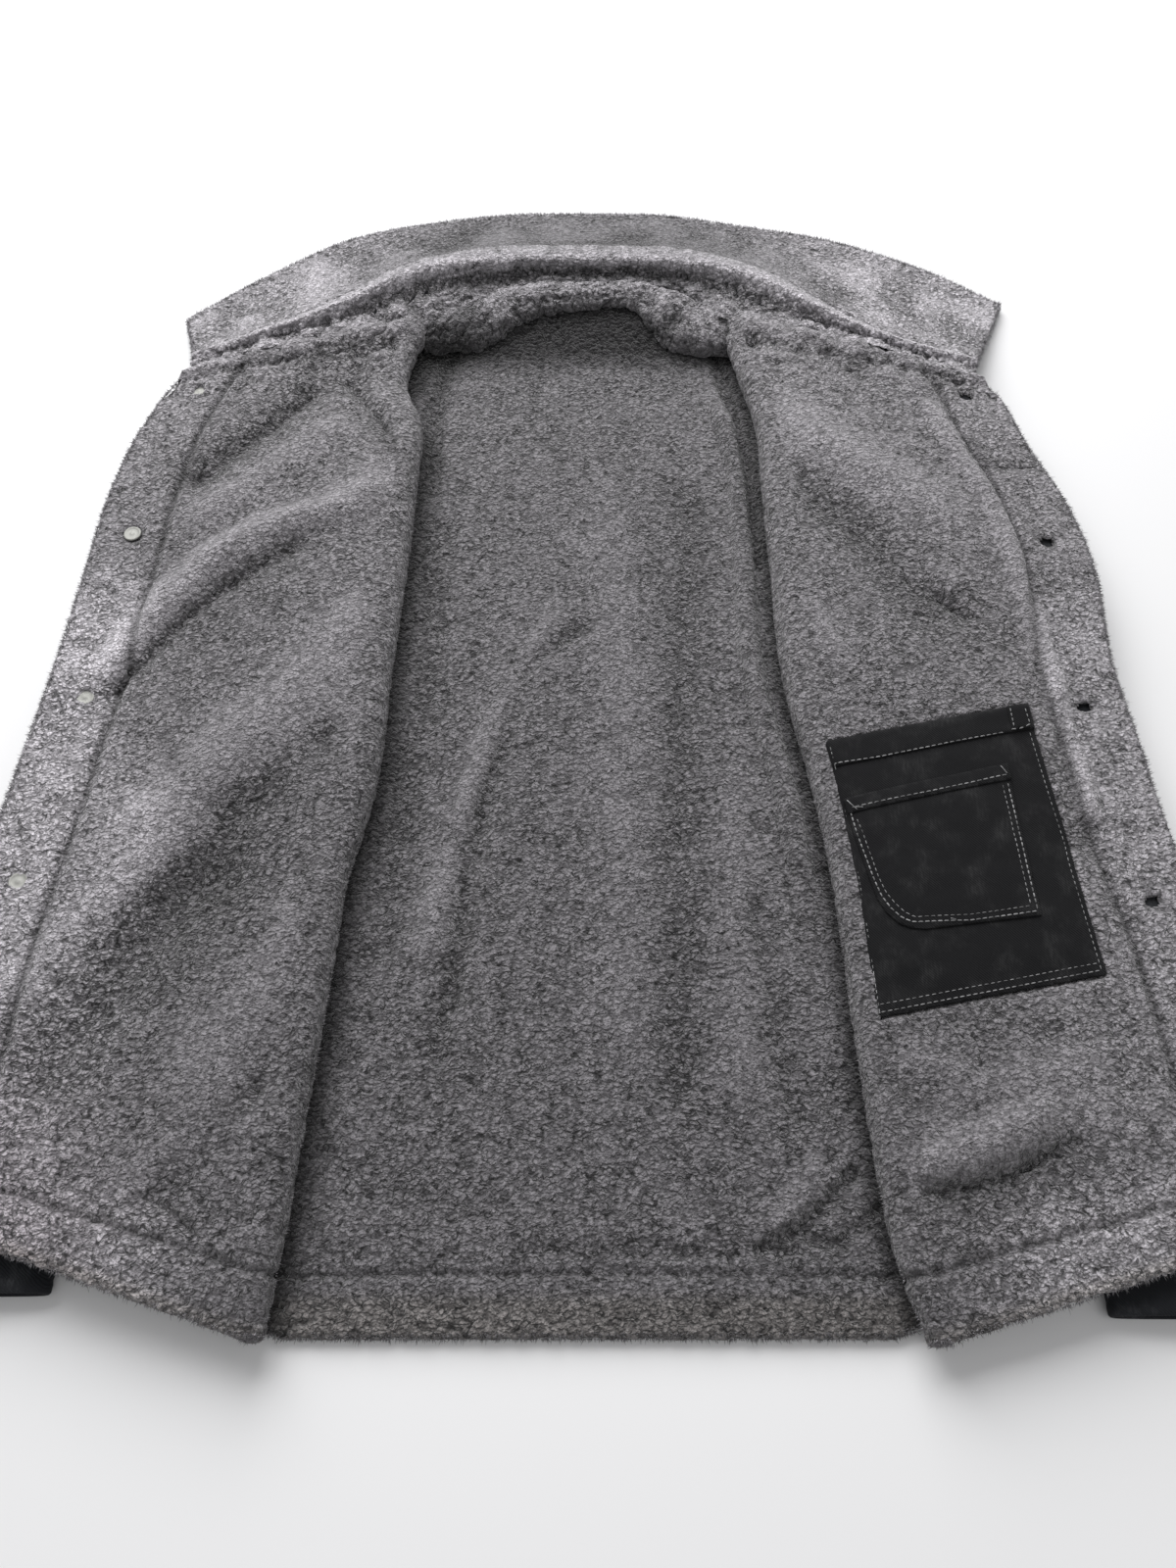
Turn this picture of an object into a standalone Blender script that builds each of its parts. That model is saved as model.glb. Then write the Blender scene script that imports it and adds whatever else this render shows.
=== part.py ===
"""Sherpa lined denim jacket, laid open on its back with the inside up.

Both fronts are folded outwards over the sleeves, so that their lining faces up, and the collar lies
spread out flat at the top. Left and right are as seen from above with the collar at the top, so the
left front is the wearer's right, which carries the buttons. X runs across, Y from the hem to the
collar, Z up. Lengths in the tables are centimetres, and x in the tables of the fronts counts outwards
from the middle. Every cloth wall is a grid of points on the surface where denim and lining meet,
thickened to one side of it: the lining on its front, the denim on its back.
"""

import math

import bmesh
import bpy
import numpy as np
from mathutils import Matrix, Vector

CM = 0.01  # metres in one centimetre

# Thicknesses, and the clearance between any two pieces.
DENIM = 0.15
SHERPA = 0.45
GAP = 0.03
HALF_GAP = GAP / 2

# Heights of the surface between denim and lining.
BACK_Z = DENIM + HALF_GAP
UNDER_Z = BACK_Z + HALF_GAP + SHERPA + GAP + SHERPA + HALF_GAP
ABOVE_SHERPA = HALF_GAP + SHERPA + GAP

# Sizes across and along the garment.
MIDDLE_Y = 40.137
TOP = 66.4
HEM_DEPTH = 2.9
HEM_FLAT_HALF = 14.3
HEM_SLOPE = 0.31  # the hem's rise towards the side seams
HIDDEN_SHORTENING = 0.9  # the hidden half of a front, along its side seam, against its fold
FACING_WIDTH = 4.4
BUTTON_INSET = 2.4
BUTTON_UPS = (61.9, 47.2, 33.0, 18.9, 5.9)
LEFT, RIGHT = -1, 1
SIDE_WORDS = {LEFT: "left", RIGHT: "right"}

# The side seam, then the armhole, of the back and of the hidden half of each front.
SIDE = {
    "up": (0.0, 20.0, 36.0, 44.0, 50.0, 57.0, 66.4),
    LEFT: (25.0, 25.7, 25.6, 23.4, 21.8, 21.4, 21.6),
    RIGHT: (23.8, 25.2, 25.4, 23.4, 21.8, 21.4, 21.6),
}

# Each row crosses a front: where it folds, where the front edge lies, the fold's radius, and the
# height of the folded-out half in its middle and at the front edge.
FRONT_COLUMNS = ("up", "fold_x", "edge_x", "edge_y", "roll", "middle_z", "edge_z")
FRONT_ROWS = {
    LEFT: (
        (-0.2, 14.9, 34.2, 5.6, 0.42, 2.15, 2.25),
        (3.3, 14.5, 34.0, 8.6, 0.55, 2.45, 2.55),
        (9.5, 14.0, 33.6, 14.5, 0.66, 2.70, 2.65),
        (16.1, 13.5, 33.1, 20.5, 0.70, 2.70, 2.65),
        (22.8, 13.1, 32.5, 26.3, 0.72, 2.70, 2.60),
        (28.9, 12.0, 32.0, 31.3, 0.75, 2.75, 2.60),
        (37.0, 11.7, 31.4, 37.9, 0.78, 2.80, 2.60),
        (45.3, 11.3, 31.0, 45.0, 0.80, 2.85, 2.60),
        (52.7, 11.1, 30.6, 50.6, 0.85, 2.95, 2.60),
        (57.0, 11.2, 29.9, 54.6, 0.85, 2.95, 2.60),
        (60.3, 12.4, 29.0, 57.6, 0.72, 2.80, 2.55),
        (63.4, 12.1, 28.2, 59.6, 0.75, 2.80, 2.45),
        (TOP, 11.0, 27.3, 61.4, 0.80, 2.80, 2.35),
    ),
    RIGHT: (
        (-0.4, 15.6, 34.0, 4.6, 0.42, 2.10, 2.25),
        (3.0, 14.6, 33.8, 7.6, 0.55, 2.40, 2.55),
        (9.5, 13.9, 33.3, 13.6, 0.66, 2.65, 2.65),
        (16.1, 13.6, 32.8, 19.6, 0.70, 2.65, 2.65),
        (23.1, 13.3, 31.9, 24.8, 0.72, 2.65, 2.60),
        (28.9, 12.7, 31.5, 30.4, 0.75, 2.70, 2.60),
        (36.3, 11.6, 31.0, 36.4, 0.75, 2.75, 2.60),
        (45.0, 11.4, 31.3, 44.0, 0.78, 2.80, 2.60),
        (52.0, 11.3, 30.4, 49.6, 0.80, 2.85, 2.60),
        (57.3, 11.2, 28.9, 54.1, 0.80, 2.85, 2.60),
        (61.6, 10.4, 27.9, 58.0, 0.75, 2.85, 2.55),
        (64.0, 9.9, 27.2, 59.4, 0.75, 2.85, 2.45),
        (TOP, 9.4, 26.6, 60.7, 0.80, 2.85, 2.35),
    ),
}

# Where the folded-out half has come down from the fold, and where it starts to settle to its edge,
# as shares of its width; and how the creases die out beside the fold and below the top edge.
SETTLED_SHARE = 0.30
EDGE_SHARE = 0.55
CREASE_START_SHARE = 0.12
CREASE_END_UP = 5.0
CREASE_FADE = 0.45  # how much of its height a crease loses along its length

# Places across a front, as front_share counts them, and the heights of its rows. Rows and a column
# meet on the buttons.
HIDDEN_SHARES = (-1.0, -0.5)
TURN_SHARES = (0.0, 0.25, 0.5, 0.75)
LINING_SHARES = tuple(1 + i / 5 for i in range(6))
BUTTON_SHARE = 3 - BUTTON_INSET / FACING_WIDTH
FACING_SHARES = (BUTTON_SHARE, 3.0)
FRONT_UPS = tuple(sorted((*BUTTON_UPS, 12.0, 25.5, 38.0, 42.5, 52.0, 56.5, 59.5, TOP)))

# Soft folds of the folded-out halves: a line, its half width, and how far the cloth rises or sinks
# along it.
# Columns: from_x, from_y, to_x, to_y, reach, height.
CREASES = {
    LEFT: (
        (13.0, 50.6, 27.6, 37.4, 2.0, 0.42),
        (17.0, 46.6, 28.2, 34.2, 1.5, -0.38),
        (18.2, 59.4, 25.2, 51.2, 1.6, -0.28),
        (16.0, 61.0, 12.4, 53.4, 0.9, -0.35),
        (20.0, 24.0, 27.5, 14.0, 3.6, -0.35),
        (15.5, 32.0, 24.5, 22.0, 3.0, 0.28),
    ),
    RIGHT: (
        (15.0, 6.8, 25.0, 10.0, 1.9, 0.35),
        (14.6, 4.6, 24.4, 7.4, 1.3, -0.22),
        (13.8, 55.0, 24.0, 47.0, 3.2, 0.25),
        (20.4, 43.2, 24.4, 38.6, 1.2, -0.20),
    ),
}

# The collar from its left end to its right end: outer edge of the leaf and crest of the roll. Its inner
# edge is the neck seam: the back neck in the middle, and beyond NECK_HALF the top edge of a front.
COLLAR_COLUMNS = ("along", "edge_x", "edge_y", "ridge_x", "ridge_y", "ridge_z")
COLLAR_ROWS = (
    (-1.0, -29.2, 68.8, -27.3, 63.1, 1.95),
    (-0.8, -24.6, 73.0, -22.8, 64.8, 2.50),
    (-0.6, -18.6, 77.5, -17.4, 67.3, 3.05),
    (-0.4, -12.5, 79.5, -12.5, 70.5, 3.50),
    (-0.2, -6.0, 80.6, -6.5, 72.2, 3.50),
    (0.0, 0.0, 80.7, 0.0, 72.3, 3.50),
    (0.2, 6.0, 80.5, 6.6, 72.0, 3.50),
    (0.4, 12.6, 79.1, 12.4, 69.8, 3.40),
    (0.6, 18.6, 77.6, 17.2, 66.3, 2.95),
    (0.8, 25.0, 74.4, 21.7, 64.0, 2.40),
    (1.0, 30.3, 70.4, 26.9, 62.6, 1.95),
)
NECK_HALF = 0.4
NECK_X = {-0.2: -6.4, -0.1: -3.2, 0.0: 0.0, 0.1: 3.1, 0.2: 6.1}
NECK_GAP = 0.45
TOP_SEAM_GAP = 0.12
LEAF_EDGE_Z = 0.22
LEAF_SWELL = 1.7  # above 1 the leaf stays low at its edge and rises near the roll
STAND_DIP = 0.28
STAND_DIP_FADE = 0.6  # how much of that dip is gone at the collar's ends
STAND_SEAM = 0.10  # the stand starts this much further over the roll than the leaf ends
LEAF_END = 1.25  # the leaf piece runs over the crest, at 1, to the slope beyond it
NECK_STATIONS = (-0.27, -0.14, 0.0, 0.14, 0.27)
LEAF_DOWNS = (0.0, 0.4, 0.72, 0.9, 1.0, 1.12, LEAF_END)
STAND_DOWNS = (LEAF_END + STAND_SEAM, 1.65, 2.0)

# The facing roll inside the back neck, from left to right: its back edge, crest and uneven lower edge.
BAND_COLUMNS = ("x", "back_y", "crest_y", "crest_z", "low_y", "low_z")
BAND_ROWS = (
    (-10.1, 67.1, 66.5, 2.40, 65.2, 0.95),
    (-7.4, 68.7, 68.0, 2.72, 65.6, 0.98),
    (-4.4, 69.4, 68.6, 2.92, 67.3, 1.95),
    (-1.7, 69.6, 68.8, 2.97, 67.9, 2.20),
    (1.2, 69.6, 69.0, 2.97, 68.3, 2.30),
    (3.4, 69.6, 69.1, 2.92, 68.4, 2.30),
    (5.3, 69.3, 68.5, 2.75, 65.8, 1.30),
    (7.7, 68.2, 67.4, 2.40, 65.0, 0.98),
)
BAND_CREST = 0.4  # the share of the roll's width that lies behind its crest
BAND_BACK_DROP = 0.25
BAND_DOWNS = (1.0, 0.7, BAND_CREST, 0.0)

# The back's neck edge and shoulders, and how far the neck stands up.
SHOULDER_COLUMNS = ("x", "top_y")
SHOULDER_ROWS = ((0.0, 70.0), (6.0, 69.6), (9.5, 68.4), (14.0, 66.6), (26.0, 62.0))
BACK_LENGTH = SHOULDER_ROWS[0][1]
NECK_RISE = 1.75
NECK_RISE_FROM_Y = 63.5
NECK_RISE_FLAT_X = 5.5
NECK_RISE_END_X = 9.3

# The lining's pleat beside the right front's fold.
PLEAT_COLUMNS = ("y", "x")
PLEAT_ROWS = (
    (20.0, 12.3),
    (29.5, 11.3),
    (36.9, 10.1),
    (48.3, 10.0),
    (55.5, 9.9),
    (58.1, 9.4),
    (62.0, 8.4),
)
PLEAT_HEIGHT = 0.75
PLEAT_REACH = 0.42
PLEAT_HALF = 2.3 * PLEAT_REACH
PLEAT_TOP_Y = 68.2  # height of the shoulder line above the pleat
PLEAT_FOOT_RUN = 6.0
PLEAT_HEAD_RUN = 4.0
BACK_CREASES = ((-0.6, 41.0, -6.6, 19.7, 2.2, 0.28),)

# Places across the back: to the left of the middle, up to the pleat at 1, over it to 2, and out to the
# right side at 3. Places up it, as shares of its length.
BACK_SHARES = (-1.0, -0.7, -0.45, -0.32, -0.18, 0.0, 0.35, 0.7, 1.0, 1.25, 1.5, 1.75, 2.0, 2.4, 3.0)
BACK_HEM_UP = HEM_DEPTH / BACK_LENGTH
BACK_UPS = (0.14, 0.25, 0.35, 0.45, 0.56, 0.68, 0.78, 0.85, 0.90, 0.935, 0.97, 1.0)

# A sleeve pressed flat beside the back: inner and outer edge (outwards from the middle), and its thickness.
# Columns: y, inner_x, outer_x, thick.
SLEEVE_ROWS = (
    (60.0, 22.0, 25.6, 1.00),
    (56.0, 21.6, 28.0, 1.55),
    (50.0, 22.0, 29.9, 1.75),
    (43.0, 24.2, 30.6, 1.80),
    (35.0, 26.2, 31.2, 1.80),
    (25.0, 26.2, 32.6, 1.70),
    (15.0, 25.9, 34.6, 1.60),
    (7.43, 25.6, 35.9, 1.45),
)
SLEEVE_SIDES = 14
RING_SQUARENESS_X = 0.55  # powers below 1 square the round section off
RING_SQUARENESS_Z = 0.70
SLEEVE_SHIFT = {LEFT: 0.0, RIGHT: -0.17}
CUFF_CENTRE_X = {LEFT: 30.9, RIGHT: 30.4}
CUFF_END_Y = {LEFT: 1.9, RIGHT: 0.9}
CUFF_HALF = {LEFT: 5.5, RIGHT: 6.0}
CUFF_TOP_Y = 7.4
CUFF_THICK = 1.50
CUFF_WALL = 0.42

# A cuff's rings, from its top round its wall and back up its bore. Each lies `up` above the cuff's top or
# end; its width is drawn in on each side, and its thickness below and above.
# Columns: from_end, up, drawn_in, thinned.
CUFF_ROWS = (
    (False, 0.0, 0.20, 0.06),
    (False, -0.4, 0.0, 0.0),
    (True, 0.2, 0.0, 0.0),
    (True, 0.0, 0.15, 0.10),
    (True, 0.15, CUFF_WALL, CUFF_WALL),
    (False, -0.05, CUFF_WALL, CUFF_WALL),
)

# The pocket on the right front, and the small pocket on it, as corners in plan, anticlockwise.
POCKET = ((14.1, 14.7), (26.7, 17.1), (25.3, 33.6), (12.6, 30.9))
POCKET_HEM = ((12.7, 29.1), (25.45, 31.9), (25.3, 33.6), (12.6, 30.9))
SMALL_POCKET = (
    (16.6, 19.5),
    (19.4, 19.7),
    (23.8, 20.3),
    (23.4, 29.5),
    (14.1, 27.3),
    (14.5, 25.2),
    (15.1, 22.2),
    (15.6, 20.7),
)
SMALL_HEM = ((14.3, 26.1), (23.5, 28.4), (23.4, 29.5), (14.1, 27.3))
PEN_TAB = ((24.1, 31.8), (25.2, 32.0), (25.1, 33.3), (24.0, 33.1))
POCKET_CLOTH = 0.12
HEM_CLOTH = 0.10

# Tack buttons: a domed cap on the denim side and a flat back on the lining side; the slots opposite them.
CAP_RADIUS = 0.85
CAP_THICK = 0.40
CAP_ROUNDING = 0.12
TACK_RADIUS = 0.50
TACK_THICK = 0.16
TACK_ROUNDING = 0.04
DISC_SIDES = 14
SLOT_LENGTH = 1.5
SLOT_WIDTH = 0.34
SLOT_DEPTH = 2.0

CLOTH_COLOURS = {
    "sherpa": ((0.215, 0.218, 0.218, 1.0), 0.95, 0.0),
    "denim": ((0.020, 0.021, 0.024, 1.0), 0.90, 0.0),
    "pocket": ((0.022, 0.022, 0.024, 1.0), 0.90, 0.0),
    "metal": ((0.420, 0.410, 0.390, 1.0), 0.40, 1.0),
}


def through(knots, values, at):
    """A smooth curve through (knots, values), read at `at`, with no overshoot beyond the end knots."""
    knots, values = np.asarray(knots, float), np.asarray(values, float)
    at = np.clip(at, knots[0], knots[-1])
    slopes = np.gradient(values, knots)
    i = np.clip(np.searchsorted(knots, at, side="right") - 1, 0, len(knots) - 2)
    width = knots[i + 1] - knots[i]
    f = (at - knots[i]) / width
    start = (1 + 2 * f) * (1 - f) ** 2 * values[i] + f * (1 - f) ** 2 * width * slopes[i]
    end = f * f * (3 - 2 * f) * values[i + 1] - f * f * (1 - f) * width * slopes[i + 1]
    return start + end


def column(rows, columns, name, at):
    """The named column of a table, read at a value of its first column."""
    return through([row[0] for row in rows], [row[columns.index(name)] for row in rows], at)


def ease(value):
    value = np.clip(value, 0.0, 1.0)
    return value * value * (3 - 2 * value)


def blend(start, end, share):
    return start + (end - start) * share


def creased(x, y, creases):
    """How far the creases lift or sink the cloth at (x, y)."""
    lift = np.zeros(np.broadcast(x, y).shape)
    for from_x, from_y, to_x, to_y, reach, height in creases:
        along_x, along_y = to_x - from_x, to_y - from_y
        share = ((x - from_x) * along_x + (y - from_y) * along_y) / (along_x**2 + along_y**2)
        nearest = np.clip(share, 0.0, 1.0)
        apart = np.hypot(x - from_x - nearest * along_x, y - from_y - nearest * along_y)
        lift = lift + height * np.exp(-((apart / reach) ** 2)) * (1 - CREASE_FADE * nearest)
    return lift


def side_seam(side, up):
    """Outer edge of the back, and of the hidden half of a front."""
    return through(SIDE["up"], SIDE[side], up)


def front_point(side, up, across):
    """Point of a front. `across` runs from -1 at the side seam to 0 where it starts to turn, round the
    fold to 1, and out to 2 at the front edge."""
    rows = FRONT_ROWS[side]
    fold_x, edge_x, edge_y, roll, middle_z, edge_z = (
        column(rows, FRONT_COLUMNS, name, up) for name in FRONT_COLUMNS[1:]
    )
    fold_x = fold_x + HALF_GAP + SHERPA
    turn_x = fold_x + roll
    hidden = np.clip(-across, 0.0, 1.0)
    angle = (np.clip(across, 0.0, 1.0) - 0.5) * math.pi
    shown = np.clip(across - 1, 0.0, 1.0)
    side_y = HEM_SLOPE * (SIDE[LEFT][0] - HEM_FLAT_HALF) + HIDDEN_SHORTENING * up
    x = blend(turn_x, side_seam(side, up), hidden) - roll * np.cos(angle) * (across > 0) * (across < 1)
    x = x + (edge_x - turn_x) * shown
    y = blend(up, side_y, hidden) + (edge_y - up) * shown
    top_z = UNDER_Z + 2 * roll
    to_edge = ease((shown - EDGE_SHARE) / (1 - EDGE_SHARE))
    rise = blend(middle_z - top_z, edge_z - top_z, to_edge) * ease(shown / SETTLED_SHARE)
    creases = creased(x, y, CREASES[side]) * ease(shown / CREASE_START_SHARE)
    creases = creases * ease((TOP - up) / CREASE_END_UP)
    z = UNDER_Z + roll * (1 + np.sin(angle)) + rise + creases
    return np.stack([side * x, y, z], axis=-1)


def shown_width(side, up):
    """Width of the folded-out half from its fold to the front edge."""
    start, end = front_point(side, up, 1.0), front_point(side, up, 2.0)
    return np.linalg.norm(end[..., :2] - start[..., :2], axis=-1)


def facing_across(side, up, inset):
    """`across` at a distance in from the front edge."""
    return 2.0 - inset / shown_width(side, up)


def back_point(x, up):
    """Point of the back, from the hem at up = 0 to the neck and shoulders at 1."""
    reach = np.abs(x)
    hem_y = HEM_SLOPE * np.maximum(reach - HEM_FLAT_HALF, 0.0)
    y = blend(hem_y, column(SHOULDER_ROWS, SHOULDER_COLUMNS, "top_y", reach), up)
    rise = ease((y - NECK_RISE_FROM_Y) / (BACK_LENGTH - NECK_RISE_FROM_Y))
    rise = rise * (1 - ease((reach - NECK_RISE_FLAT_X) / (NECK_RISE_END_X - NECK_RISE_FLAT_X)))
    return np.stack([x + 0 * y, y, BACK_Z + NECK_RISE * rise], axis=-1)


def pleat_lift(x, y):
    """The lining's loose pleat and its crease, above the flat back."""
    middle = column(PLEAT_ROWS, PLEAT_COLUMNS, "x", y)
    foot = ease((y - PLEAT_ROWS[0][0]) / PLEAT_FOOT_RUN)
    head = ease((PLEAT_ROWS[-1][0] - y) / PLEAT_HEAD_RUN)
    pleat = PLEAT_HEIGHT * np.exp(-(((x - middle) / PLEAT_REACH) ** 2)) * (foot * head)
    return pleat + creased(x, y, BACK_CREASES)


def collar_point(along, down):
    """Point of the collar. `down` runs from 0 at the leaf's outer edge over the crest at 1 to the neck
    seam at 2."""
    edge_x, edge_y, ridge_x, ridge_y, ridge_z = (
        column(COLLAR_ROWS, COLLAR_COLUMNS, name, along) for name in COLLAR_COLUMNS[1:]
    )
    seam = neck_seam(along)
    leaf, stand = np.clip(down, 0.0, 1.0), np.clip(down - 1, 0.0, 1.0)
    x = blend(edge_x, ridge_x, leaf) + (seam[..., 0] - ridge_x) * stand
    y = blend(edge_y, ridge_y, leaf) + (seam[..., 1] - ridge_y) * stand
    z = blend(LEAF_EDGE_Z, ridge_z, leaf**LEAF_SWELL) + (seam[..., 2] - ridge_z) * stand
    z = z - STAND_DIP * np.sin(math.pi * stand) ** 2 * (1 - STAND_DIP_FADE * np.abs(along))
    return np.stack([x, y, z], axis=-1)


def top_edge_places(side):
    """Where a front's columns reach its top edge, from 0 at the fold to 1 at the front edge."""
    seam = facing_across(side, TOP, FACING_WIDTH) - 1
    lining = [(share - 1) * seam for share in LINING_SHARES]
    return lining + [seam + (1 - seam) * (share - 2) for share in FACING_SHARES]


def neck_seam(along):
    """The neck seam: the top edges of the fronts, and the back neck between them."""
    stations, points = [], []
    for side in (LEFT, RIGHT):
        for shown in top_edge_places(side):
            stations.append(side * (NECK_HALF + (1 - NECK_HALF) * shown))
            points.append(front_point(side, TOP, 1.0 + shown) + np.array([0.0, TOP_SEAM_GAP, 0.0]))
    for station, x in NECK_X.items():
        stations.append(station)
        points.append(back_point(np.array(x), 1.0) + np.array([0.0, NECK_GAP, 0.0]))
    order = np.argsort(stations)
    stations, points = np.array(stations)[order], np.array(points)[order]
    return np.stack([through(stations, points[:, i], along) for i in range(3)], axis=-1)


def band_point(x, down):
    """Point of the back neck facing roll, from its back edge at 0 over its crest to its lower edge at 1."""
    back_y, crest_y, crest_z, low_y, low_z = (
        column(BAND_ROWS, BAND_COLUMNS, name, x) for name in BAND_COLUMNS[1:]
    )
    first = np.clip(down / BAND_CREST, 0.0, 1.0)
    second = np.clip((down - BAND_CREST) / (1 - BAND_CREST), 0.0, 1.0)
    y = blend(back_y, crest_y, first) + (low_y - crest_y) * np.sin(second * math.pi / 2)
    back_drop = BAND_BACK_DROP * (1 - first) ** 2
    z = crest_z - back_drop - (crest_z - low_z) * (1 - np.cos(second * math.pi / 2))
    return np.stack([x + 0 * y, y, z], axis=-1)


def grid(rows, columns, point):
    """A grid of points from a function of two numbers; `rows` counts up the cloth and `columns` across it."""
    up, across = np.meshgrid(rows, columns, indexing="ij")
    return point(up, across)


def material(cloth):
    found = bpy.data.materials.get(cloth)
    if found:
        return found
    made = bpy.data.materials.new(cloth)
    made.use_nodes = True
    colour, roughness, metallic = CLOTH_COLOURS[cloth]
    shader = made.node_tree.nodes["Principled BSDF"]
    shader.inputs["Base Color"].default_value = colour
    shader.inputs["Roughness"].default_value = roughness
    shader.inputs["Metallic"].default_value = metallic
    made.diffuse_color = colour
    return made


def add_object(name, mesh, cloth, scene):
    mesh.materials.append(material(cloth))
    made = bpy.data.objects.new(name, mesh)
    scene["pieces"].objects.link(made)
    made.parent = scene["jacket"]
    return made


def surface_mesh(name, points):
    """The grid as triangles, all cut along the same diagonal."""
    rows, columns, _ = points.shape
    corner = np.arange(rows * columns).reshape(rows, columns)
    a, b, c, d = corner[:-1, :-1], corner[:-1, 1:], corner[1:, 1:], corner[1:, :-1]
    halves = (np.stack([a, b, c], -1), np.stack([a, c, d], -1))
    faces = np.concatenate([half.reshape(-1, 3) for half in halves])
    mesh = bpy.data.meshes.new(name)
    mesh.from_pydata((points.reshape(-1, 3) * CM).tolist(), [], faces.tolist())
    return mesh


def thicken(piece, thick, lift):
    """Turns a surface into a wall, whose near face lies `lift` in front of it, or behind it if negative."""
    wall = piece.modifiers.new("wall", "SOLIDIFY")
    wall.thickness = thick * CM
    wall.offset = 1 + 2 * lift / thick if lift > 0 else -1 + 2 * lift / thick
    piece.data.shade_smooth()


def sheet(name, points, thick, lift, cloth, scene):
    piece = add_object(name, surface_mesh(name, points), cloth, scene)
    thicken(piece, thick, lift)
    return piece


def front_share(side, up, share):
    """Point of a front: hidden half from -1 to 0, the turn to 1, the lining to its seam at 2, and the
    facing to 3."""
    seam = facing_across(side, up, FACING_WIDTH)
    lining = blend(1.0, seam, np.clip(share - 1, 0.0, 1.0))
    across = np.where(share <= 1, share, lining + (2.0 - seam) * np.clip(share - 2, 0.0, 1.0))
    return front_point(side, up, across)


def front_grid(side, ups, shares):
    """A front's grid, turned so that its front side is the lining's."""
    points = grid(ups, shares, lambda up, share: front_share(side, up, share))
    return points if side == RIGHT else points[:, ::-1]


def build_front(side, scene):
    word = SIDE_WORDS[side]
    foot = FRONT_ROWS[side][0][0]
    hem_up = foot + HEM_DEPTH
    lining = (*HIDDEN_SHARES, *TURN_SHARES, *LINING_SHARES)
    facing = (2 + GAP / FACING_WIDTH, *FACING_SHARES)
    whole = (*lining, *FACING_SHARES)
    above_hem = (hem_up + GAP, *FRONT_UPS)
    shell = front_grid(side, (foot, hem_up, *FRONT_UPS), whole)
    sheet(f"{word}_front_shell", shell, DENIM, -HALF_GAP, "denim", scene)
    for piece, ups, shares in (
        ("lining", above_hem, lining),
        ("facing", above_hem, facing),
        ("hem_band", (foot, hem_up), whole),
    ):
        points = front_grid(side, ups, shares)
        sheet(f"{word}_front_{piece}", points, SHERPA, HALF_GAP, "sherpa", scene)


def back_grid(ups, loose):
    """The back's grid. `loose` is 1 for the lining, which has the pleat, and 0 for the flat shell."""

    def point(up, share):
        near_y = up * PLEAT_TOP_Y
        pleat_x = column(PLEAT_ROWS, PLEAT_COLUMNS, "x", near_y)
        x = np.clip(share, -1.0, 0.0) * side_seam(LEFT, near_y)
        x = x + np.clip(share, 0.0, 1.0) * (pleat_x - PLEAT_HALF)
        x = x + np.clip(share - 1, 0.0, 1.0) * 2 * PLEAT_HALF
        x = x + np.clip(share - 2, 0.0, 1.0) * (side_seam(RIGHT, near_y) - pleat_x - PLEAT_HALF)
        found = back_point(x, up)
        found[..., 2] += loose * pleat_lift(found[..., 0], found[..., 1])
        return found

    return grid(ups, BACK_SHARES, point)


def build_back(scene):
    hem_ups = (0.0, BACK_HEM_UP)
    lining_ups = (BACK_HEM_UP + GAP / BACK_LENGTH, *BACK_UPS)
    sheet("back_shell", back_grid((*hem_ups, *BACK_UPS), 0.0), DENIM, -HALF_GAP, "denim", scene)
    sheet("back_lining", back_grid(lining_ups, 1.0), SHERPA, HALF_GAP, "sherpa", scene)
    sheet("back_hem_band", back_grid(hem_ups, 0.0), SHERPA, HALF_GAP, "sherpa", scene)


def collar_stations():
    """Columns of the collar: one on each column of the fronts' top edges, and a few across the back neck."""
    left = [-NECK_HALF - (1 - NECK_HALF) * shown for shown in top_edge_places(LEFT)]
    right = [NECK_HALF + (1 - NECK_HALF) * shown for shown in top_edge_places(RIGHT)]
    return (*left[::-1], *NECK_STATIONS, *right)


def collar_grid(downs):
    """The collar's grid, from its lower rows to the leaf's outer edge: its front side is the lining's."""
    return grid(downs[::-1], collar_stations(), lambda down, along: collar_point(along, down))


def build_collar(scene):
    sheet("collar_leaf_lining", collar_grid(LEAF_DOWNS), SHERPA, HALF_GAP, "sherpa", scene)
    sheet("collar_leaf_shell", collar_grid(LEAF_DOWNS), DENIM, -HALF_GAP, "denim", scene)
    sheet("collar_stand_lining", collar_grid(STAND_DOWNS), SHERPA, HALF_GAP, "sherpa", scene)
    sheet("collar_stand_shell", collar_grid(STAND_DOWNS), DENIM, -HALF_GAP, "denim", scene)
    band = grid(BAND_DOWNS, [row[0] for row in BAND_ROWS], lambda down, x: band_point(x, down))
    sheet("back_neck_facing", band, SHERPA, HALF_GAP, "sherpa", scene)


def flat_ring(centre_x, half_x, y, low_z, thick):
    """A flattened round section across a sleeve, as points anticlockwise seen from the hem."""
    turns = np.arange(SLEEVE_SIDES) * 2 * math.pi / SLEEVE_SIDES
    x = np.sign(np.cos(turns)) * np.abs(np.cos(turns)) ** RING_SQUARENESS_X
    z = np.sign(np.sin(turns)) * np.abs(np.sin(turns)) ** RING_SQUARENESS_Z
    points = np.stack([centre_x + half_x * x, y + 0 * x, low_z + thick * (1 + z) / 2], axis=-1)
    return points * CM


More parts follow.
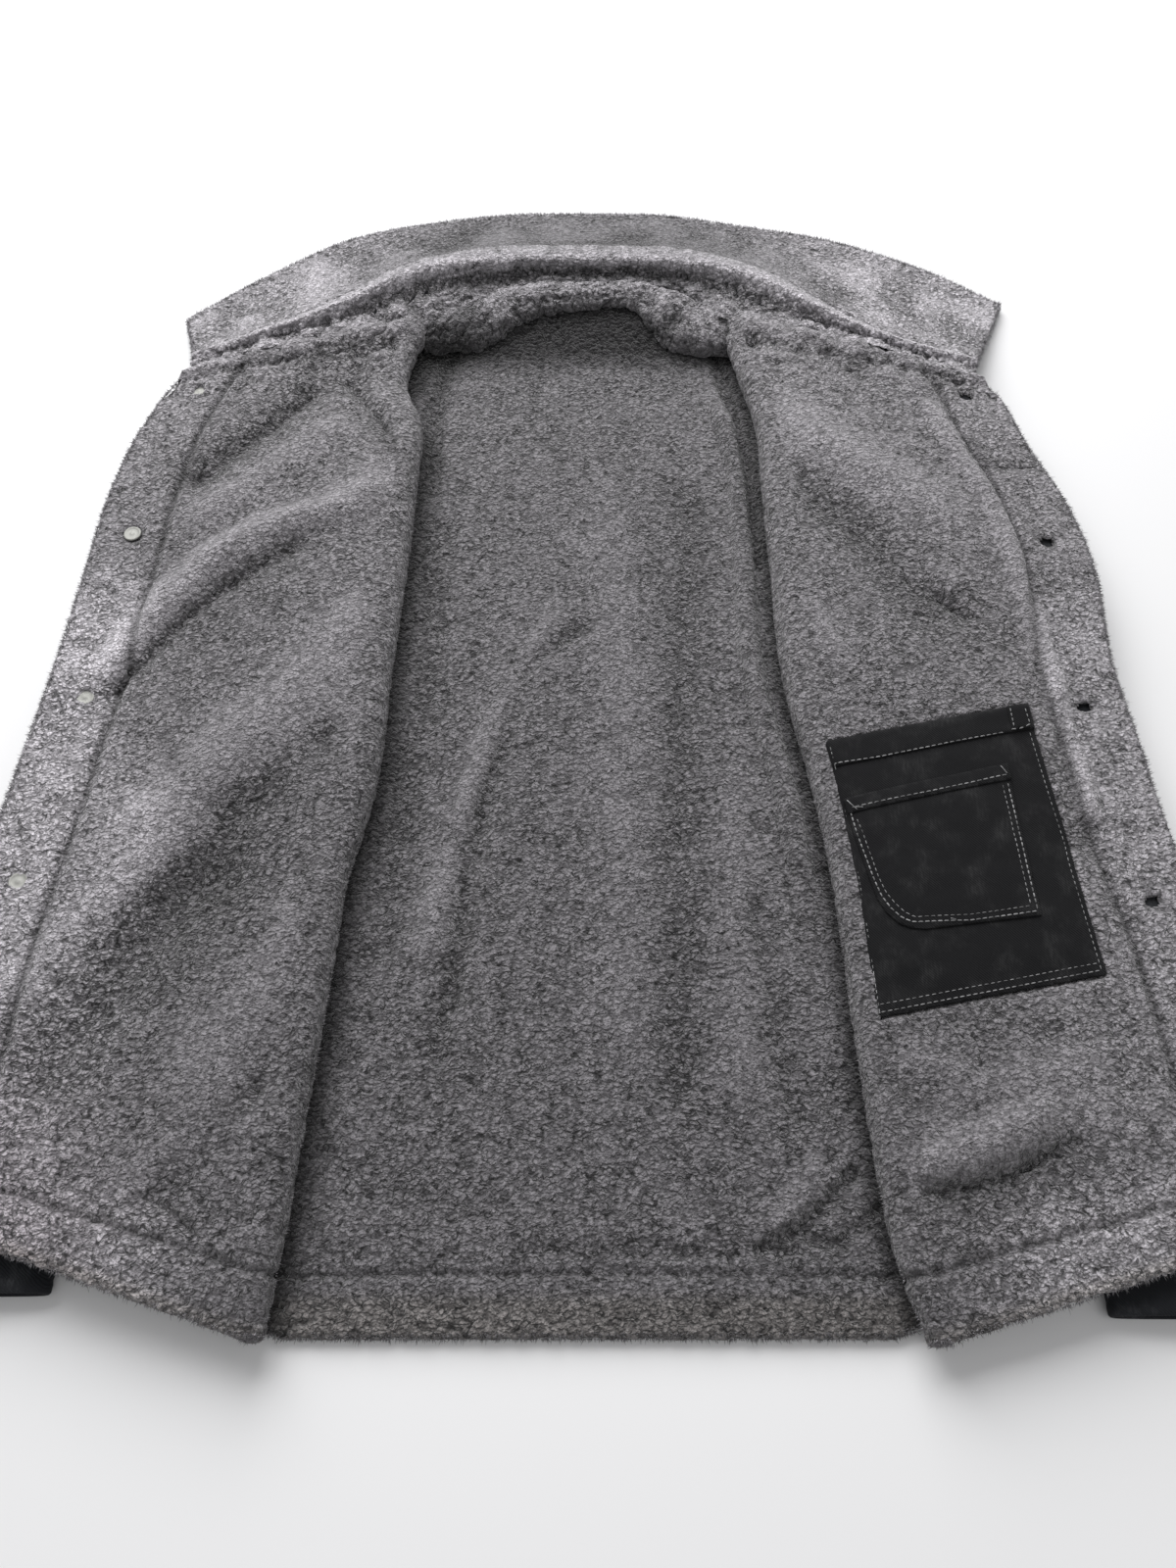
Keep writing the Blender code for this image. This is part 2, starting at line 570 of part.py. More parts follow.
def ring_solid(name, rings, closed_ends, cloth, scene):
    """A solid through rings of points: capped at both ends, or joined last to first as a tube with a
    bore."""
    made = bmesh.new()
    corners = [[made.verts.new(point) for point in ring] for ring in rings]
    pairs = list(zip(corners, corners[1:] if closed_ends else corners[1:] + corners[:1]))
    for near, far in pairs:
        for i in range(SLEEVE_SIDES):
            j = (i + 1) % SLEEVE_SIDES
            made.faces.new((near[i], near[j], far[j], far[i]))
    if closed_ends:
        made.faces.new(corners[0])
        made.faces.new(corners[-1])
    bmesh.ops.recalc_face_normals(made, faces=made.faces)
    mesh = bpy.data.meshes.new(name)
    made.to_mesh(mesh)
    made.free()
    mesh.shade_smooth()
    return add_object(name, mesh, cloth, scene)


def build_sleeve(side, scene):
    word = SIDE_WORDS[side]
    rings = []
    for y, inner_x, outer_x, thick in SLEEVE_ROWS:
        centre_x = side * ((inner_x + outer_x) / 2 + SLEEVE_SHIFT[side])
        rings.append(flat_ring(centre_x, (outer_x - inner_x) / 2, y, 0.0, thick))
    ring_solid(f"{word}_sleeve", rings, True, "denim", scene)
    centre, half = side * CUFF_CENTRE_X[side], CUFF_HALF[side]
    cuff = []
    for from_end, up, drawn_in, thinned in CUFF_ROWS:
        y = (CUFF_END_Y[side] if from_end else CUFF_TOP_Y) + up
        cuff.append(flat_ring(centre, half - drawn_in, y, thinned, CUFF_THICK - 2 * thinned))
    ring_solid(f"{word}_cuff", cuff, False, "denim", scene)


def patch(name, corners, thick, lift, cloth, scene):
    """A piece lying on the right front: the lining's own facets inside the outline, moved out by `lift`."""
    hem_up = FRONT_ROWS[RIGHT][0][0] + HEM_DEPTH + GAP
    mesh = surface_mesh(name, front_grid(RIGHT, (hem_up, *FRONT_UPS), (*TURN_SHARES[2:], *LINING_SHARES)))
    cut = bmesh.new()
    cut.from_mesh(mesh)
    for (x, y), (next_x, next_y) in zip(corners, corners[1:] + corners[:1]):
        corner = (x * CM, y * CM, 0.0)
        outside = (next_y - y, x - next_x, 0.0)
        geometry = [*cut.verts, *cut.edges, *cut.faces]
        bmesh.ops.bisect_plane(cut, geom=geometry, plane_co=corner, plane_no=outside, clear_outer=True)
    cut.to_mesh(mesh)
    cut.free()
    piece = add_object(name, mesh, cloth, scene)
    thicken(piece, thick, lift)
    return piece


def build_pocket(scene):
    first = ABOVE_SHERPA + GAP
    second = first + POCKET_CLOTH + GAP
    third = second + POCKET_CLOTH + GAP
    patch("pocket_panel", POCKET, POCKET_CLOTH, first, "pocket", scene)
    patch("pocket_hem", POCKET_HEM, HEM_CLOTH, second, "pocket", scene)
    patch("small_pocket", SMALL_POCKET, POCKET_CLOTH, second, "pocket", scene)
    patch("small_pocket_hem", SMALL_HEM, HEM_CLOTH, third, "pocket", scene)
    patch("pen_tab", PEN_TAB, HEM_CLOTH, third, "pocket", scene)


def placket_axes(side, up):
    """Where a button or slot sits on the placket, and the axes there: across the front, along the edge,
    and out."""
    across_step, along_step = 0.2, 1.0
    centre = front_share(side, up, BUTTON_SHARE)
    inner, outer = (front_share(side, up, BUTTON_SHARE + step) for step in (-across_step, across_step))
    lower, upper = (front_share(side, up + step, BUTTON_SHARE) for step in (-along_step, along_step))
    across = Vector(outer - inner).normalized() * side
    along = Vector(upper - lower).normalized()
    out = across.cross(along).normalized()
    return Vector(centre), Matrix((across, out.cross(across), out)).transposed().to_4x4()


def disc(name, radius, thick, rounding, matrix, scene):
    made = bmesh.new()
    sizes = {"radius1": radius * CM, "radius2": radius * CM, "depth": thick * CM}
    bmesh.ops.create_cone(made, cap_ends=True, segments=DISC_SIDES, **sizes)
    mesh = bpy.data.meshes.new(name)
    made.to_mesh(mesh)
    made.free()
    piece = add_object(name, mesh, "metal", scene)
    piece.matrix_local = matrix
    round_edge = piece.modifiers.new("round", "BEVEL")
    round_edge.width = rounding * CM
    round_edge.segments = 1
    round_edge.limit_method = "ANGLE"
    return piece


def build_buttons(scene):
    back_lift = ABOVE_SHERPA + GAP + TACK_THICK / 2
    cap_drop = HALF_GAP + DENIM + 2 * GAP + CAP_THICK / 2
    for number, up in enumerate(BUTTON_UPS, start=1):
        centre, axes = placket_axes(LEFT, up)
        out = axes.to_3x3().col[2]
        for name, radius, thick, rounding, shift in (
            (f"button_back_{number}", TACK_RADIUS, TACK_THICK, TACK_ROUNDING, back_lift),
            (f"button_cap_{number}", CAP_RADIUS, CAP_THICK, CAP_ROUNDING, -cap_drop),
        ):
            place = Matrix.Translation((centre + out * shift) * CM)
            disc(name, radius, thick, rounding, place @ axes, scene)


def cut_slots(scene):
    """The buttonholes: slots through the right facing and the shell under it, across the front."""
    for number, up in enumerate(BUTTON_UPS, start=1):
        centre, axes = placket_axes(RIGHT, up)
        made = bmesh.new()
        bmesh.ops.create_cube(made, size=1.0)
        sides = (SLOT_LENGTH * CM, SLOT_WIDTH * CM, SLOT_DEPTH * CM)
        bmesh.ops.scale(made, verts=made.verts, vec=sides)
        mesh = bpy.data.meshes.new(f"slot_{number}")
        made.to_mesh(mesh)
        made.free()
        slot = bpy.data.objects.new(f"slot_{number}", mesh)
        scene["cutters"].objects.link(slot)
        slot.parent = scene["jacket"]
        slot.matrix_local = Matrix.Translation(centre * CM) @ axes
        slot.hide_render = True
        slot.display_type = "WIRE"
        for name in ("right_front_facing", "right_front_shell"):
            cut = bpy.data.objects[name].modifiers.new(f"slot_{number}", "BOOLEAN")
            cut.operation = "DIFFERENCE"
            cut.object = slot


def clear_scene():
    for old in list(bpy.data.objects):
        bpy.data.objects.remove(old)


def main():
    clear_scene()
    pieces = bpy.data.collections.new("sherpa_lined_jacket")
    cutters = bpy.data.collections.new("cutters")
    bpy.context.scene.collection.children.link(pieces)
    bpy.context.scene.collection.children.link(cutters)
    jacket = bpy.data.objects.new("jacket", None)
    pieces.objects.link(jacket)
    jacket.location = (0.0, -MIDDLE_Y * CM, 0.0)
    scene = {"pieces": pieces, "cutters": cutters, "jacket": jacket}
    build_back(scene)
    for side in (LEFT, RIGHT):
        build_front(side, scene)
        build_sleeve(side, scene)
    build_collar(scene)
    build_pocket(scene)
    build_buttons(scene)
    cut_slots(scene)


main()
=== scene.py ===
"""Looks of the sherpa lined jacket: curled pile on the linings, denim on the shell, and the studio.

Each cloth piece is built again on a finer grid over the same form as its CAD solid, in the garment's own
centimetres: x across, y from the hem to the collar, z up. x in the tables of the fronts counts outwards
from the middle, and left and right are as seen from above with the collar at the top."""

import math

import bmesh
import bpy
import numpy as np
from mathutils import Matrix, Vector


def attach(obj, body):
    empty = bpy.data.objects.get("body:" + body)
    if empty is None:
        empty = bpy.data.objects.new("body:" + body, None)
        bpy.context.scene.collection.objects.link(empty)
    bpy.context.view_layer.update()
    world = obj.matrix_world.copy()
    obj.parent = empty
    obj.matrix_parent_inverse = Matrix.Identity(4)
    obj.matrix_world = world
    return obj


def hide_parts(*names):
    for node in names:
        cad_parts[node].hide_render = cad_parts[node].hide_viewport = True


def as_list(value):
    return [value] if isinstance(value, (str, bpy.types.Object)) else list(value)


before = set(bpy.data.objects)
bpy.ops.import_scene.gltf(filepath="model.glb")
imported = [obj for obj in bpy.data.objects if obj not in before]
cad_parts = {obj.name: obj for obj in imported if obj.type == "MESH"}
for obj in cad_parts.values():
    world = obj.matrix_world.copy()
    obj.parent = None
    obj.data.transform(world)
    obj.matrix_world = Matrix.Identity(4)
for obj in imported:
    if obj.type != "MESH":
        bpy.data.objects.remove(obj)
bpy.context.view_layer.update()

CM = 0.01
MIDDLE_Y = 40.137
LEFT, RIGHT = -1, 1
SIDE_WORDS = {LEFT: "left", RIGHT: "right"}
PILE_STEP = 0.145  # spacing of the grid where the pile shows
HIDDEN_STEP = 1.6
DENIM_STEP = 0.6

# Sizes shared with the CAD source.
DENIM = 0.15
SHERPA = 0.45
GAP = 0.03
HALF_GAP = GAP / 2
BACK_Z = DENIM + HALF_GAP
UNDER_Z = BACK_Z + HALF_GAP + SHERPA + GAP + SHERPA + HALF_GAP
TOP = 66.4
HEM_DEPTH = 2.9
HEM_FLAT_HALF = 14.3
HEM_SLOPE = 0.31
FACING_WIDTH = 4.4
BUTTON_INSET = 2.4
BUTTON_UPS = (61.9, 47.2, 33.0, 18.9, 5.9)
BUTTON_SHARE = 3 - BUTTON_INSET / FACING_WIDTH

# x of the side seams at heights up the garment.
SIDE = {
    "up": (0.0, 20.0, 36.0, 44.0, 50.0, 57.0, 66.4),
    LEFT: (25.0, 25.7, 25.6, 23.4, 21.8, 21.4, 21.6),
    RIGHT: (23.8, 25.2, 25.4, 23.4, 21.8, 21.4, 21.6),
}
FRONT_COLUMNS = ("up", "fold_x", "edge_x", "edge_y", "roll", "middle_z", "edge_z")
FRONT_ROWS = {
    LEFT: (
        (-0.2, 14.9, 34.2, 5.6, 0.42, 2.15, 2.25),
        (3.3, 14.5, 34.0, 8.6, 0.55, 2.45, 2.55),
        (9.5, 14.0, 33.6, 14.5, 0.66, 2.70, 2.65),
        (16.1, 13.5, 33.1, 20.5, 0.70, 2.70, 2.65),
        (22.8, 13.1, 32.5, 26.3, 0.72, 2.70, 2.60),
        (28.9, 12.0, 32.0, 31.3, 0.75, 2.75, 2.60),
        (37.0, 11.7, 31.4, 37.9, 0.78, 2.80, 2.60),
        (45.3, 11.3, 31.0, 45.0, 0.80, 2.85, 2.60),
        (52.7, 11.1, 30.6, 50.6, 0.85, 2.95, 2.60),
        (57.0, 11.2, 29.9, 54.6, 0.85, 2.95, 2.60),
        (60.3, 12.4, 29.0, 57.6, 0.72, 2.80, 2.55),
        (63.4, 12.1, 28.2, 59.6, 0.75, 2.80, 2.45),
        (TOP, 11.0, 27.3, 61.4, 0.80, 2.80, 2.35),
    ),
    RIGHT: (
        (-0.4, 15.6, 34.0, 4.6, 0.42, 2.10, 2.25),
        (3.0, 14.6, 33.8, 7.6, 0.55, 2.40, 2.55),
        (9.5, 13.9, 33.3, 13.6, 0.66, 2.65, 2.65),
        (16.1, 13.6, 32.8, 19.6, 0.70, 2.65, 2.65),
        (23.1, 13.3, 31.9, 24.8, 0.72, 2.65, 2.60),
        (28.9, 12.7, 31.5, 30.4, 0.75, 2.70, 2.60),
        (36.3, 11.6, 31.0, 36.4, 0.75, 2.75, 2.60),
        (45.0, 11.4, 31.3, 44.0, 0.78, 2.80, 2.60),
        (52.0, 11.3, 30.4, 49.6, 0.80, 2.85, 2.60),
        (57.3, 11.2, 28.9, 54.1, 0.80, 2.85, 2.60),
        (61.6, 10.4, 27.9, 58.0, 0.75, 2.85, 2.55),
        (64.0, 9.9, 27.2, 59.4, 0.75, 2.85, 2.45),
        (TOP, 9.4, 26.6, 60.7, 0.80, 2.85, 2.35),
    ),
}
# Creases of the form: where each starts and ends (x, y, x, y), its reach and its height.
CREASES = {
    LEFT: (
        (13.0, 50.6, 27.6, 37.4, 2.0, 0.42),
        (17.0, 46.6, 28.2, 34.2, 1.5, -0.38),
        (18.2, 59.4, 25.2, 51.2, 1.6, -0.28),
        (16.0, 61.0, 12.4, 53.4, 0.9, -0.35),
        (20.0, 24.0, 27.5, 14.0, 3.6, -0.35),
        (15.5, 32.0, 24.5, 22.0, 3.0, 0.28),
    ),
    RIGHT: (
        (15.0, 6.8, 25.0, 10.0, 1.9, 0.35),
        (14.6, 4.6, 24.4, 7.4, 1.3, -0.22),
        (13.8, 55.0, 24.0, 47.0, 3.2, 0.25),
        (20.4, 43.2, 24.4, 38.6, 1.2, -0.20),
    ),
}
COLLAR_COLUMNS = ("along", "edge_x", "edge_y", "ridge_x", "ridge_y", "ridge_z")
COLLAR_ROWS = (
    (-1.0, -29.2, 68.8, -27.3, 63.1, 1.95),
    (-0.8, -24.6, 73.0, -22.8, 64.8, 2.50),
    (-0.6, -18.6, 77.5, -17.4, 67.3, 3.05),
    (-0.4, -12.5, 79.5, -12.5, 70.5, 3.50),
    (-0.2, -6.0, 80.6, -6.5, 72.2, 3.50),
    (0.0, 0.0, 80.7, 0.0, 72.3, 3.50),
    (0.2, 6.0, 80.5, 6.6, 72.0, 3.50),
    (0.4, 12.6, 79.1, 12.4, 69.8, 3.40),
    (0.6, 18.6, 77.6, 17.2, 66.3, 2.95),
    (0.8, 25.0, 74.4, 21.7, 64.0, 2.40),
    (1.0, 30.3, 70.4, 26.9, 62.6, 1.95),
)
NECK_HALF = 0.4
NECK_X = {-0.2: -6.4, -0.1: -3.2, 0.0: 0.0, 0.1: 3.1, 0.2: 6.1}
NECK_GAP = 0.45
TOP_SEAM_GAP = 0.12
LEAF_EDGE_Z = 0.22
LEAF_SWELL = 1.7
STAND_DIP = 0.28
STAND_SEAM = 0.10
LEAF_END = 1.25
BAND_COLUMNS = ("x", "back_y", "crest_y", "crest_z", "low_y", "low_z")
BAND_ROWS = (
    (-10.1, 67.1, 66.5, 2.40, 65.2, 0.95),
    (-7.4, 68.7, 68.0, 2.72, 65.6, 0.98),
    (-4.4, 69.4, 68.6, 2.92, 67.3, 1.95),
    (-1.7, 69.6, 68.8, 2.97, 67.9, 2.20),
    (1.2, 69.6, 69.0, 2.97, 68.3, 2.30),
    (3.4, 69.6, 69.1, 2.92, 68.4, 2.30),
    (5.3, 69.3, 68.5, 2.75, 65.8, 1.30),
    (7.7, 68.2, 67.4, 2.40, 65.0, 0.98),
)
SHOULDER_COLUMNS = ("x", "top_y")
SHOULDER_ROWS = ((0.0, 70.0), (6.0, 69.6), (9.5, 68.4), (14.0, 66.6), (26.0, 62.0))
NECK_RISE = 1.75
NECK_RISE_FROM_Y = 63.5
NECK_RISE_FLAT_X = 5.5
NECK_RISE_END_X = 9.3
PLEAT_COLUMNS = ("y", "x")
PLEAT_ROWS = ((20.0, 12.3), (29.5, 11.3), (36.9, 10.1), (48.3, 10.0), (55.5, 9.9), (58.1, 9.4), (62.0, 8.4))
PLEAT_HEIGHT = 0.75
PLEAT_REACH = 0.42
BACK_CREASES = ((-0.6, 41.0, -6.6, 19.7, 2.2, 0.28),)
SLEEVE_COLUMNS = ("y", "inner_x", "outer_x", "thick")
SLEEVE_ROWS = (
    (60.0, 22.0, 25.6, 1.00),
    (56.0, 21.6, 28.0, 1.55),
    (50.0, 22.0, 29.9, 1.75),
    (43.0, 24.2, 30.6, 1.80),
    (35.0, 26.2, 31.2, 1.80),
    (25.0, 26.2, 32.6, 1.70),
    (15.0, 25.9, 34.6, 1.60),
    (7.43, 25.6, 35.9, 1.45),
)
SLEEVE_SHIFT = {LEFT: 0.0, RIGHT: -0.17}
CUFF_CENTRE_X = {LEFT: 30.9, RIGHT: 30.4}
CUFF_END_Y = {LEFT: 1.9, RIGHT: 0.9}
CUFF_HALF = {LEFT: 5.5, RIGHT: 6.0}
CUFF_TOP_Y = 7.4
CUFF_THICK = 1.50
CUFF_WALL = 0.42
POCKET = ((14.1, 14.7), (26.7, 17.1), (25.3, 33.6), (12.6, 30.9))
POCKET_CLOTH = 0.12


def through(knots, values, at):
    """A smooth curve through (knots, values), read at `at`, with no overshoot beyond the end knots."""
    knots, values = np.asarray(knots, float), np.asarray(values, float)
    at = np.clip(at, knots[0], knots[-1])
    slopes = np.gradient(values, knots)
    i = np.clip(np.searchsorted(knots, at, side="right") - 1, 0, len(knots) - 2)
    width = knots[i + 1] - knots[i]
    f = (at - knots[i]) / width
    start = (1 + 2 * f) * (1 - f) ** 2 * values[i] + f * (1 - f) ** 2 * width * slopes[i]
    end = f * f * (3 - 2 * f) * values[i + 1] - f * f * (1 - f) * width * slopes[i + 1]
    return start + end


def column(rows, columns, name, at):
    return through([row[0] for row in rows], [row[columns.index(name)] for row in rows], at)


def ease(value):
    value = np.clip(value, 0.0, 1.0)
    return value * value * (3 - 2 * value)


def past(value, start, width):
    """0 up to `start`, then rising to 1 over `width`."""
    return ease((value - start) / width)


def short_of(value, end, width):
    """0 from `end` on, rising to 1 at `width` before it."""
    return ease((end - value) / width)


def hump(value, middle, reach):
    return np.exp(-(((value - middle) / reach) ** 2))


def blend(start, end, share):
    return start + (end - start) * share


def near_line(x, y, line):
    """Distance from a line and how far along it, 0 to 1."""
    from_x, from_y, to_x, to_y = line
    along_x, along_y = to_x - from_x, to_y - from_y
    share = np.clip(((x - from_x) * along_x + (y - from_y) * along_y) / (along_x**2 + along_y**2), 0.0, 1.0)
    return np.hypot(x - from_x - share * along_x, y - from_y - share * along_y), share


def creased(x, y, creases):
    lift = np.zeros(np.broadcast(x, y).shape)
    for *line, reach, height in creases:
        apart, along = near_line(x, y, line)
        lift = lift + height * hump(apart, 0, reach) * (1 - 0.45 * along)
    return lift


def side_seam(side, up):
    return through(SIDE["up"], SIDE[side], up)


def front_point(side, up, across):
    rows = FRONT_ROWS[side]
    fold_x, edge_x, edge_y, roll, middle_z, edge_z = (
        column(rows, FRONT_COLUMNS, name, up) for name in FRONT_COLUMNS[1:]
    )
    fold_x = fold_x + HALF_GAP + SHERPA
    turn_x = fold_x + roll
    hidden = np.clip(-across, 0.0, 1.0)
    angle = (np.clip(across, 0.0, 1.0) - 0.5) * math.pi
    shown = np.clip(across - 1, 0.0, 1.0)
    side_y = HEM_SLOPE * (SIDE[LEFT][0] - HEM_FLAT_HALF) + 0.9 * up
    x = blend(turn_x, side_seam(side, up), hidden) - roll * np.cos(angle) * (across > 0) * (across < 1)
    x = x + (edge_x - turn_x) * shown
    y = blend(up, side_y, hidden) + (edge_y - up) * shown
    top_z = UNDER_Z + 2 * roll
    rise = blend(middle_z - top_z, edge_z - top_z, past(shown, 0.55, 0.45)) * ease(shown / 0.30)
    creases = creased(x, y, CREASES[side]) * ease(shown / 0.12) * short_of(up, TOP, 5.0)
    z = UNDER_Z + roll * (1 + np.sin(angle)) + rise + creases
    return np.stack([side * x, y, z], axis=-1)


def shown_width(side, up):
    start, end = front_point(side, up, 1.0), front_point(side, up, 2.0)
    return np.linalg.norm(end[..., :2] - start[..., :2], axis=-1)


def facing_across(side, up, inset):
    return 2.0 - inset / shown_width(side, up)


def front_share(side, up, share):
    """Point of a front: hidden half -1 to 0, the turn to 1, the lining to 2 and the facing to 3."""
    seam = facing_across(side, up, FACING_WIDTH)
    lining = blend(1.0, seam, np.clip(share - 1, 0.0, 1.0))
    across = np.where(share <= 1, share, lining + (2.0 - seam) * np.clip(share - 2, 0.0, 1.0))
    return front_point(side, up, across)


def back_point(x, up):
    reach = np.abs(x)
    hem_y = HEM_SLOPE * np.maximum(reach - HEM_FLAT_HALF, 0.0)
    y = blend(hem_y, column(SHOULDER_ROWS, SHOULDER_COLUMNS, "top_y", reach), up)
    rise = ease((y - NECK_RISE_FROM_Y) / (SHOULDER_ROWS[0][1] - NECK_RISE_FROM_Y))
    rise = rise * (1 - ease((reach - NECK_RISE_FLAT_X) / (NECK_RISE_END_X - NECK_RISE_FLAT_X)))
    return np.stack([x + 0 * y, y, BACK_Z + NECK_RISE * rise], axis=-1)


def pleat_lift(x, y):
    middle = column(PLEAT_ROWS, PLEAT_COLUMNS, "x", y)
    ends = ease((y - PLEAT_ROWS[0][0]) / 6.0) * ease((PLEAT_ROWS[-1][0] - y) / 4.0)
    return PLEAT_HEIGHT * hump(x, middle, PLEAT_REACH) * ends + creased(x, y, BACK_CREASES)


def neck_seam(along):
    stations, points = [], []
    for side in (LEFT, RIGHT):
        for shown in np.linspace(0.0, 1.0, 12):
            stations.append(side * (NECK_HALF + (1 - NECK_HALF) * shown))
            points.append(front_point(side, TOP, 1.0 + shown) + np.array([0.0, TOP_SEAM_GAP, 0.0]))
    for station, x in NECK_X.items():
        stations.append(station)
        points.append(back_point(np.array(x), 1.0) + np.array([0.0, NECK_GAP, 0.0]))
    order = np.argsort(stations)
    stations, points = np.array(stations)[order], np.array(points)[order]
    return np.stack([through(stations, points[:, i], along) for i in range(3)], axis=-1)


def collar_point(down, along):
    """Point of the collar by `down`: the leaf's edge at 0, the crest at 1 and the neck seam at 2."""
    edge_x, edge_y, ridge_x, ridge_y, ridge_z = (
        column(COLLAR_ROWS, COLLAR_COLUMNS, name, along) for name in COLLAR_COLUMNS[1:]
    )
    seam = neck_seam(along)
    leaf, stand = np.clip(down, 0.0, 1.0), np.clip(down - 1, 0.0, 1.2)
    x = blend(edge_x, ridge_x, leaf) + (seam[..., 0] - ridge_x) * stand
    y = blend(edge_y, ridge_y, leaf) + (seam[..., 1] - ridge_y) * stand
    z = blend(LEAF_EDGE_Z, ridge_z, leaf**LEAF_SWELL) + (seam[..., 2] - ridge_z) * stand
    z = z - STAND_DIP * np.sin(math.pi * stand) ** 2 * (1 - 0.6 * np.abs(along))
    return np.stack([x, y, z], axis=-1)


def band_point(down, x):
    back_y, crest_y, crest_z, low_y, low_z = (
        column(BAND_ROWS, BAND_COLUMNS, name, x) for name in BAND_COLUMNS[1:]
    )
    first, second = np.clip(down / 0.4, 0.0, 1.0), np.clip((down - 0.4) / 0.6, 0.0, 1.0)
    y = blend(back_y, crest_y, first) + (low_y - crest_y) * np.sin(second * math.pi / 2)
    z = crest_z - 0.25 * (1 - first) ** 2 - (crest_z - low_z) * (1 - np.cos(second * math.pi / 2))
    return np.stack([x + 0 * y, y, z], axis=-1)


# ---- noise ----

GRADIENT_COUNT = 4096
GRADIENTS = np.random.default_rng(11).normal(size=(GRADIENT_COUNT, 3))
GRADIENTS /= np.linalg.norm(GRADIENTS, axis=1, keepdims=True)
HASH_STEPS = np.array([73856093, 19349663, 83492791])
HASH_FACTOR = 2246822519
SEED_STEP = 7919


def noise(points, seed):
    """Gradient noise of about -1 to 1 at points given in units of its grain."""
    cell = np.floor(points)
    inside = points - cell
    cell = cell.astype(np.int64)
    weight = inside**3 * (inside * (inside * 6 - 15) + 10)
    total = np.zeros(points.shape[:-1])
    for corner in np.ndindex(2, 2, 2):
        hashed = ((cell + corner) * HASH_STEPS).sum(-1) + seed * SEED_STEP
        hashed = (hashed ^ (hashed >> 15)) * HASH_FACTOR
        hashed = (hashed ^ (hashed >> 13)) & (GRADIENT_COUNT - 1)
        away = inside - corner
        share = np.where(corner, weight, 1 - weight).prod(-1)
        total += share * (GRADIENTS[hashed] * away).sum(-1)
    return total * 1.7


def lumps(points, seed=0):
    """Height of the curled clumps, 0 in the partings to 1, and a slow variation of about -1 to 1."""
    bend = np.stack([noise(points / 1.1, seed + i) for i in range(3)], axis=-1)
    curls = np.abs(noise((points + 0.22 * bend) / 0.62, seed + 3))
    slow = noise(points / 3.1, seed + 5)
    return ease(curls / 0.42), slow


# Folds: the points (x, y) of each line in plan, then its reach and its height. x is positive to the right.
# The fronts' folds lift both cloths, and the back's lift only its pile.
FRONT_FOLDS = (
    ((-18.8, 58.5), (-21.9, 54.6), (-24.9, 51.2), 0.95, -0.61),
    ((-16.5, 55.5), (-20.5, 51.5), (-24.5, 47.8), 1.1, 0.32),
    ((-12.6, 50.3), (-15.7, 48.4), (-20.0, 46.7), (-23.1, 44.5), (-25.0, 42.0), (-27.7, 36.5), 0.95, 0.67),
    ((-18.4, 45.3), (-22.1, 42.4), (-25.1, 39.0), (-27.8, 34.8), 0.75, -0.75),
    ((-16.1, 59.7), (-13.1, 55.5), (-11.4, 52.6), 0.50, -0.65),
    ((-13.6, 58.8), (-11.8, 56.2), 0.60, 0.43),
    ((-13.5, 39.5), (-19.0, 32.5), (-23.5, 26.5), 1.9, 0.43),
    ((-15.0, 31.0), (-20.0, 26.0), (-25.0, 19.0), 1.7, -0.43),
    ((-21.5, 25.4), (-28.8, 16.9), 1.5, 0.38),
    ((-20.2, 22.5), (-26.3, 12.2), 1.7, -0.52),
    ((-14.8, 20.0), (-19.0, 12.5), 2.0, 0.35),
    ((-15.0, 12.0), (-20.5, 6.4), 0.9, -0.32),
    ((-17.0, 9.6), (-21.5, 6.9), 1.1, 0.35),
    ((-20.8, 5.9), (-18.3, 4.2), 0.32, -0.43),
    ((15.6, 6.2), (19.9, 6.8), (23.7, 8.6), 0.62, -0.72),
    ((15.4, 7.3), (17.8, 7.7), (21.9, 9.8), 0.80, 0.55),
    ((13.9, 8.5), (14.9, 4.9), (15.9, 2.8), 0.40, -0.43),
    ((16.4, 12.6), (19.6, 11.0), (24.5, 12.4), 0.9, 0.23),
    ((21.1, 42.0), (22.8, 40.2), 0.45, -0.49),
    ((19.4, 43.8), (22.0, 42.8), 0.8, 0.26),
    ((22.7, 57.3), (24.3, 52.3), (25.8, 48.3), (26.4, 43.1), (27.0, 36.5), (27.6, 26.6), 0.50, 0.55),
    ((25.9, 52.0), (28.5, 52.3), 0.55, -0.18),
    ((12.6, 57.0), (16.5, 52.5), (22.0, 49.0), 1.6, 0.41),
    ((13.5, 51.0), (17.5, 46.0), (20.5, 40.5), 1.6, -0.38),
    ((12.5, 42.5), (14.6, 37.5), 0.9, 0.26),
    ((27.4, 33.4), (26.6, 24.8), 0.8, -0.26),
)
